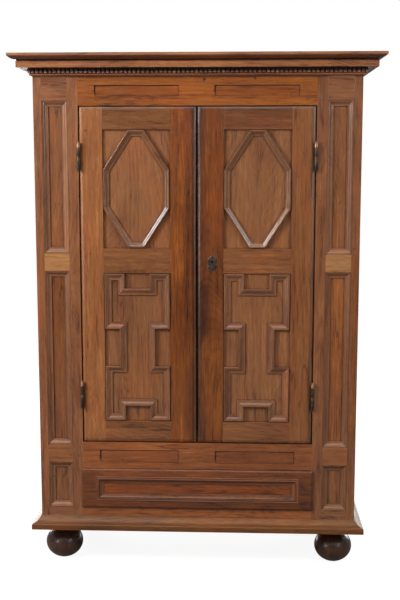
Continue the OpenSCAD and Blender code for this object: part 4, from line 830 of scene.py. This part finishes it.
def tooth_row(first, step, count, outwards):
    """Teeth in a row: one eased block, copied by adding each tooth's place to all its points.
    Each tooth stands out a little more or less than the next, as sawn by hand."""
    half = TOOTH_W / 2
    plan = eased(outline((-half, 0), (half, 0), (half, TOOTH_W), (-half, TOOTH_W)), 0.8 * MM, 3)
    heights = np.array([0.2, 0.6, 16.4, 16.8]) * MM
    inset = np.array([0.94, 1, 1, 0.94])
    along = step / np.linalg.norm(step)
    flip = np.dot(np.cross(along, outwards), UP) < 0
    shells = []
    for i in range(count):
        reach = 1 - 0.05 * chance.random()
        u, v = plan[:, 0] * inset[:, None], plan[:, 1] * inset[:, None] * reach
        rings = (first + i * step + u[..., None] * along + v[..., None] * outwards
                 + heights[:, None, None] * UP)
        in_wood = np.stack([u, v, heights[:, None] + 0 * u], -1)
        shells.append(prism(rings, in_wood, chance.random(), flip))
    return shells


def all_teeth():
    """The backing strip, its teeth on three sides and the square teeth at the corners."""
    front_l, side_l = 2 * BODY_X + 2 * TOOTH_BACK, RETURN_L + TOOTH_BACK
    front_y = FRONT_Y - TOOTH_BACK
    shells = around_carcass(TEETH_BACKING, TEETH_Z)
    pitch = front_l / FRONT_TEETH
    shells += tooth_row(np.array([-front_l / 2 + pitch / 2, front_y, TEETH_Z]), pitch * RIGHT,
                        FRONT_TEETH, FORWARD)
    pitch = side_l / SIDE_TEETH
    for hand in (-1, 1):
        first = np.array([hand * (BODY_X + TOOTH_BACK), front_y + pitch / 2, TEETH_Z])
        shells += tooth_row(first, pitch * BACK, SIDE_TEETH, hand * RIGHT)
        corner_x = hand * (BODY_X + TOOTH_BACK + TOOTH_W / 2 * MM)
        shells += tooth_row(np.array([corner_x, front_y, TEETH_Z]), pitch * RIGHT, 1, FORWARD)
    return shells


piece("teeth", all_teeth(), teeth_oak, "carcass", ("dentil_course",))


# Feet, turned to a profile in millimetres

BALL_R, BALL_HALF_H = 71, 62
SOLE_R, NECK_R = 25, 38
FOOT_INSET_X, FOOT_INSET_Y = 70 * MM, 85 * MM


def foot_profile():
    """Half of a foot: a flat sole, a flattened ball, a hollow neck, a collar and a spigot. The
    ball's height at a radius r is its half height times the root of 1 - (r / radius) squared."""
    reach = BALL_HALF_H * np.sqrt(1 - (np.array([SOLE_R, NECK_R]) / BALL_R) ** 2)
    low, high = np.arcsin(reach / BALL_HALF_H)
    angle = np.linspace(-low, high, 40)
    ball = np.stack([BALL_R * np.cos(angle), reach[0] + BALL_HALF_H * np.sin(angle)], 1)
    return outline((20, 0), ball, bend((NECK_R, reach.sum() + 3), (NECK_R, 126), (44, 130), 8),
                   (46.4, 130.2), (47, 131), (47, 141.4), (46.4, 142), (18, 142), (18, 176))


piece("feet", [turned(foot_profile(), np.array([x, FRONT_Y + behind, 0]))
               for x in (FOOT_INSET_X - BODY_X, BODY_X - FOOT_INSET_X)
               for behind in (FOOT_INSET_Y, RETURN_L - FOOT_INSET_Y)],
      black_wood, "carcass", ("bun_feet",))


# Keyhole plate, in millimetres from the keyhole

KEYHOLE_R, KEYHOLE_SLOT, KEYHOLE_SLOT_L = 4.2, 1.7, 14
# Swelling and shrinking, the edge comes out 16.5 to each side of its middle
EDGE_HALF_W, EDGE_HALF_H, EDGE_DROP = 16 / 0.87, 33, 5.3
LOBES, LOBE_SWELL = 6, 0.10
NAIL_X, NAIL_Z = 11.5, 14
NAIL_R, NAIL_RIM, NAIL_DOME = 2.4, 0.7, 1.1
KEYHOLE = front_middle("escutcheon", FRONT_Y).round(4) + EDGE_DROP * MM * UP


def keyhole_plate():
    """A lobed plate: its edge is an ellipse whose radius swells six times round, and each
    point runs from the keyhole's edge to the plate's edge, over a low dome and back behind."""
    turn = np.linspace(0, 2 * math.pi, 120, endpoint=False)
    swell = 1 - LOBE_SWELL + LOBE_SWELL * np.cos(LOBES * turn - math.pi)
    edge = np.stack([EDGE_HALF_W * np.cos(turn) * swell,
                     EDGE_HALF_H * np.sin(turn) * swell - EDGE_DROP], 1)
    down, aside = np.maximum(-np.sin(turn), 1e-3), np.maximum(np.abs(np.cos(turn)), 1e-3)
    slot = np.where(np.sin(turn) < 0,
                    np.minimum(KEYHOLE_SLOT_L / down, KEYHOLE_SLOT / aside), 0)
    r = np.maximum(KEYHOLE_R, slot)
    hole = np.stack([r * np.cos(turn), r * np.sin(turn)], 1)
    steps = 12
    share = np.concatenate([np.linspace(0, 1, steps) ** 0.8, [1, 0]])
    lift = np.concatenate([0.95 + 0.5 * np.sin(np.linspace(0.2, math.pi, steps)), [0, 0]])
    lift[0], lift[steps - 1] = 0.8, 0.55
    flat = hole + (edge - hole) * share[:, None, None]
    rings = np.stack([flat[..., 0], -lift[:, None] + 0 * flat[..., 0], flat[..., 1]], -1) * MM
    rings = rings + KEYHOLE
    rows, columns = rings.shape[:2]
    here, last = np.arange(columns), (rows - 1) * columns
    beside = (here + 1) % columns
    closing = np.stack([here, beside, beside + last, here + last], -1)
    faces = np.vstack([ring_quads(rows, columns, True), closing]).tolist()
    return rings.reshape(-1, 3), faces, rings.reshape(-1, 3), np.zeros(rows * columns)


def nail_head(x, z):
    """A low round head x and z from the plate's middle: rings of an arc, flat behind."""
    arc = np.linspace(0, math.radians(80), 6)
    turn = np.linspace(0, 2 * math.pi, 20, endpoint=False)
    r, out = NAIL_R * np.cos(arc)[:, None], NAIL_RIM + NAIL_DOME * np.sin(arc)[:, None]
    rings = np.stack([r * np.cos(turn), -out + 0 * turn, r * np.sin(turn)], -1) * MM
    rings = rings + KEYHOLE + np.array([x, 0, z - EDGE_DROP]) * MM
    return prism(rings, rings, 0.5, False)


piece("keyhole_cover", [keyhole_plate()] + [nail_head(x, z) for x in (-NAIL_X, NAIL_X)
                                            for z in (-NAIL_Z, NAIL_Z)],
      dark_iron, "right_door", ("escutcheon",))


# Studio

def pale_floor():
    """A wide round floor, finished as smooth pale paper."""
    radii, sides = [40, 12, 4, 1.5], 96
    turn = np.linspace(0, 2 * math.pi, sides, endpoint=False)
    rings = np.stack([np.outer(radii, np.cos(turn)), np.outer(radii, np.sin(turn)),
                      np.zeros((len(radii), sides))], -1)
    middle = list(range((len(radii) - 1) * sides, len(radii) * sides))
    faces = ring_quads(len(radii), sides, False).tolist() + [middle]
    mesh = bpy.data.meshes.new("floor")
    mesh.from_pydata(rings.reshape(-1, 3).tolist(), [], faces)
    material, t, at = new_finish("pale_paper")
    colour = t.blend(t.cloud(at, (3, 3, 3), 3.0), (0.17, 0.165, 0.16, 1), (0.19, 0.185, 0.18, 1))
    seen = t.node("ShaderNodeLightPath").outputs["Is Camera Ray"]
    shader = t.node("ShaderNodeBsdfPrincipled", {
        "Base Color": colour, "Roughness": 0.8, "Specular IOR Level": 0.1,
        "Emission Color": (1, 1, 1, 1), "Emission Strength": t.maths("MULTIPLY", seen, 0.90)})
    t.node("ShaderNodeOutputMaterial", {0: shader.outputs[0]})
    mesh.materials.append(material)
    show("floor", mesh)


def lamp(name, place, target, size, power, colour=(1, 1, 1)):
    """A square soft light at place that faces target."""
    data = bpy.data.lights.new(name, "AREA")
    data.size, data.energy, data.color = size, power, colour
    made = show(name, data)
    made.location = place
    aim = Vector(target) - Vector(place)
    made.rotation_euler = aim.to_track_quat("-Z", "Y").to_euler()


def studio_light():
    """White behind the press. As a light it is dim at eye level and brighter overhead. Two
    lamps high on the left and right, a wide one overhead and two weak ones low down light the
    front, and two wide ones light the back."""
    world = bpy.data.worlds.new("studio")
    bpy.context.scene.world = world
    world.use_nodes = True
    t = Tree(world.node_tree)
    seen = t.node("ShaderNodeLightPath").outputs["Is Camera Ray"]
    height = t.parts(t.node("ShaderNodeTexCoord").outputs["Generated"])[2]
    above = t.fade(height, 0.05, 0.8)
    light = t.blend(above, (0.10, 0.10, 0.10, 1), (0.62, 0.62, 0.68, 1))
    colour = t.blend(seen, light, (1, 1, 1, 1))
    glow = t.node("ShaderNodeBackground", {"Color": colour, "Strength": 1.0})
    t.node("ShaderNodeOutputWorld", {0: glow.outputs[0]})
    lamp("left_lamp", (-2.7, -1.9, 2.5), (0, -0.1, 1.0), 0.95, 122)
    lamp("right_lamp", (2.6, -2.1, 2.4), (0, -0.1, 1.0), 0.95, 44)
    lamp("overhead", (-0.3, -1.2, 3.6), (0, -0.2, 0.6), 2.2, 34, (0.98, 0.96, 0.96))
    lamp("left_fill", (-2.9, -3.1, 1.0), (0, -0.2, 1.0), 1.0, 16, (1.0, 0.95, 0.90))
    lamp("right_fill", (2.5, -3.3, 1.3), (0, -0.2, 1.2), 1.2, 7, (1.0, 0.97, 0.93))
    lamp("back_left", (-2.1, 2.9, 0.98), (0, 0.3, 0.98), 1.6, 66)
    lamp("back_right", (2.3, 2.7, 0.98), (0, 0.3, 0.98), 1.6, 48)


def camera():
    """The photograph's viewpoint: a little right of the middle, above the doors' middle,
    turned a little to the left and looking slightly down."""
    down, left = 7.99, 2.54
    data = bpy.data.cameras.new("camera")
    data.lens, data.sensor_width = 60.93, 36
    made = show("camera", data)
    made.location = (0.175, -3.907, 1.536)
    made.rotation_euler = (math.radians(90 - down), 0, math.radians(left))
    bpy.context.scene.camera = made


pale_floor()
studio_light()
camera()
bpy.context.scene.view_settings.view_transform = "Standard"
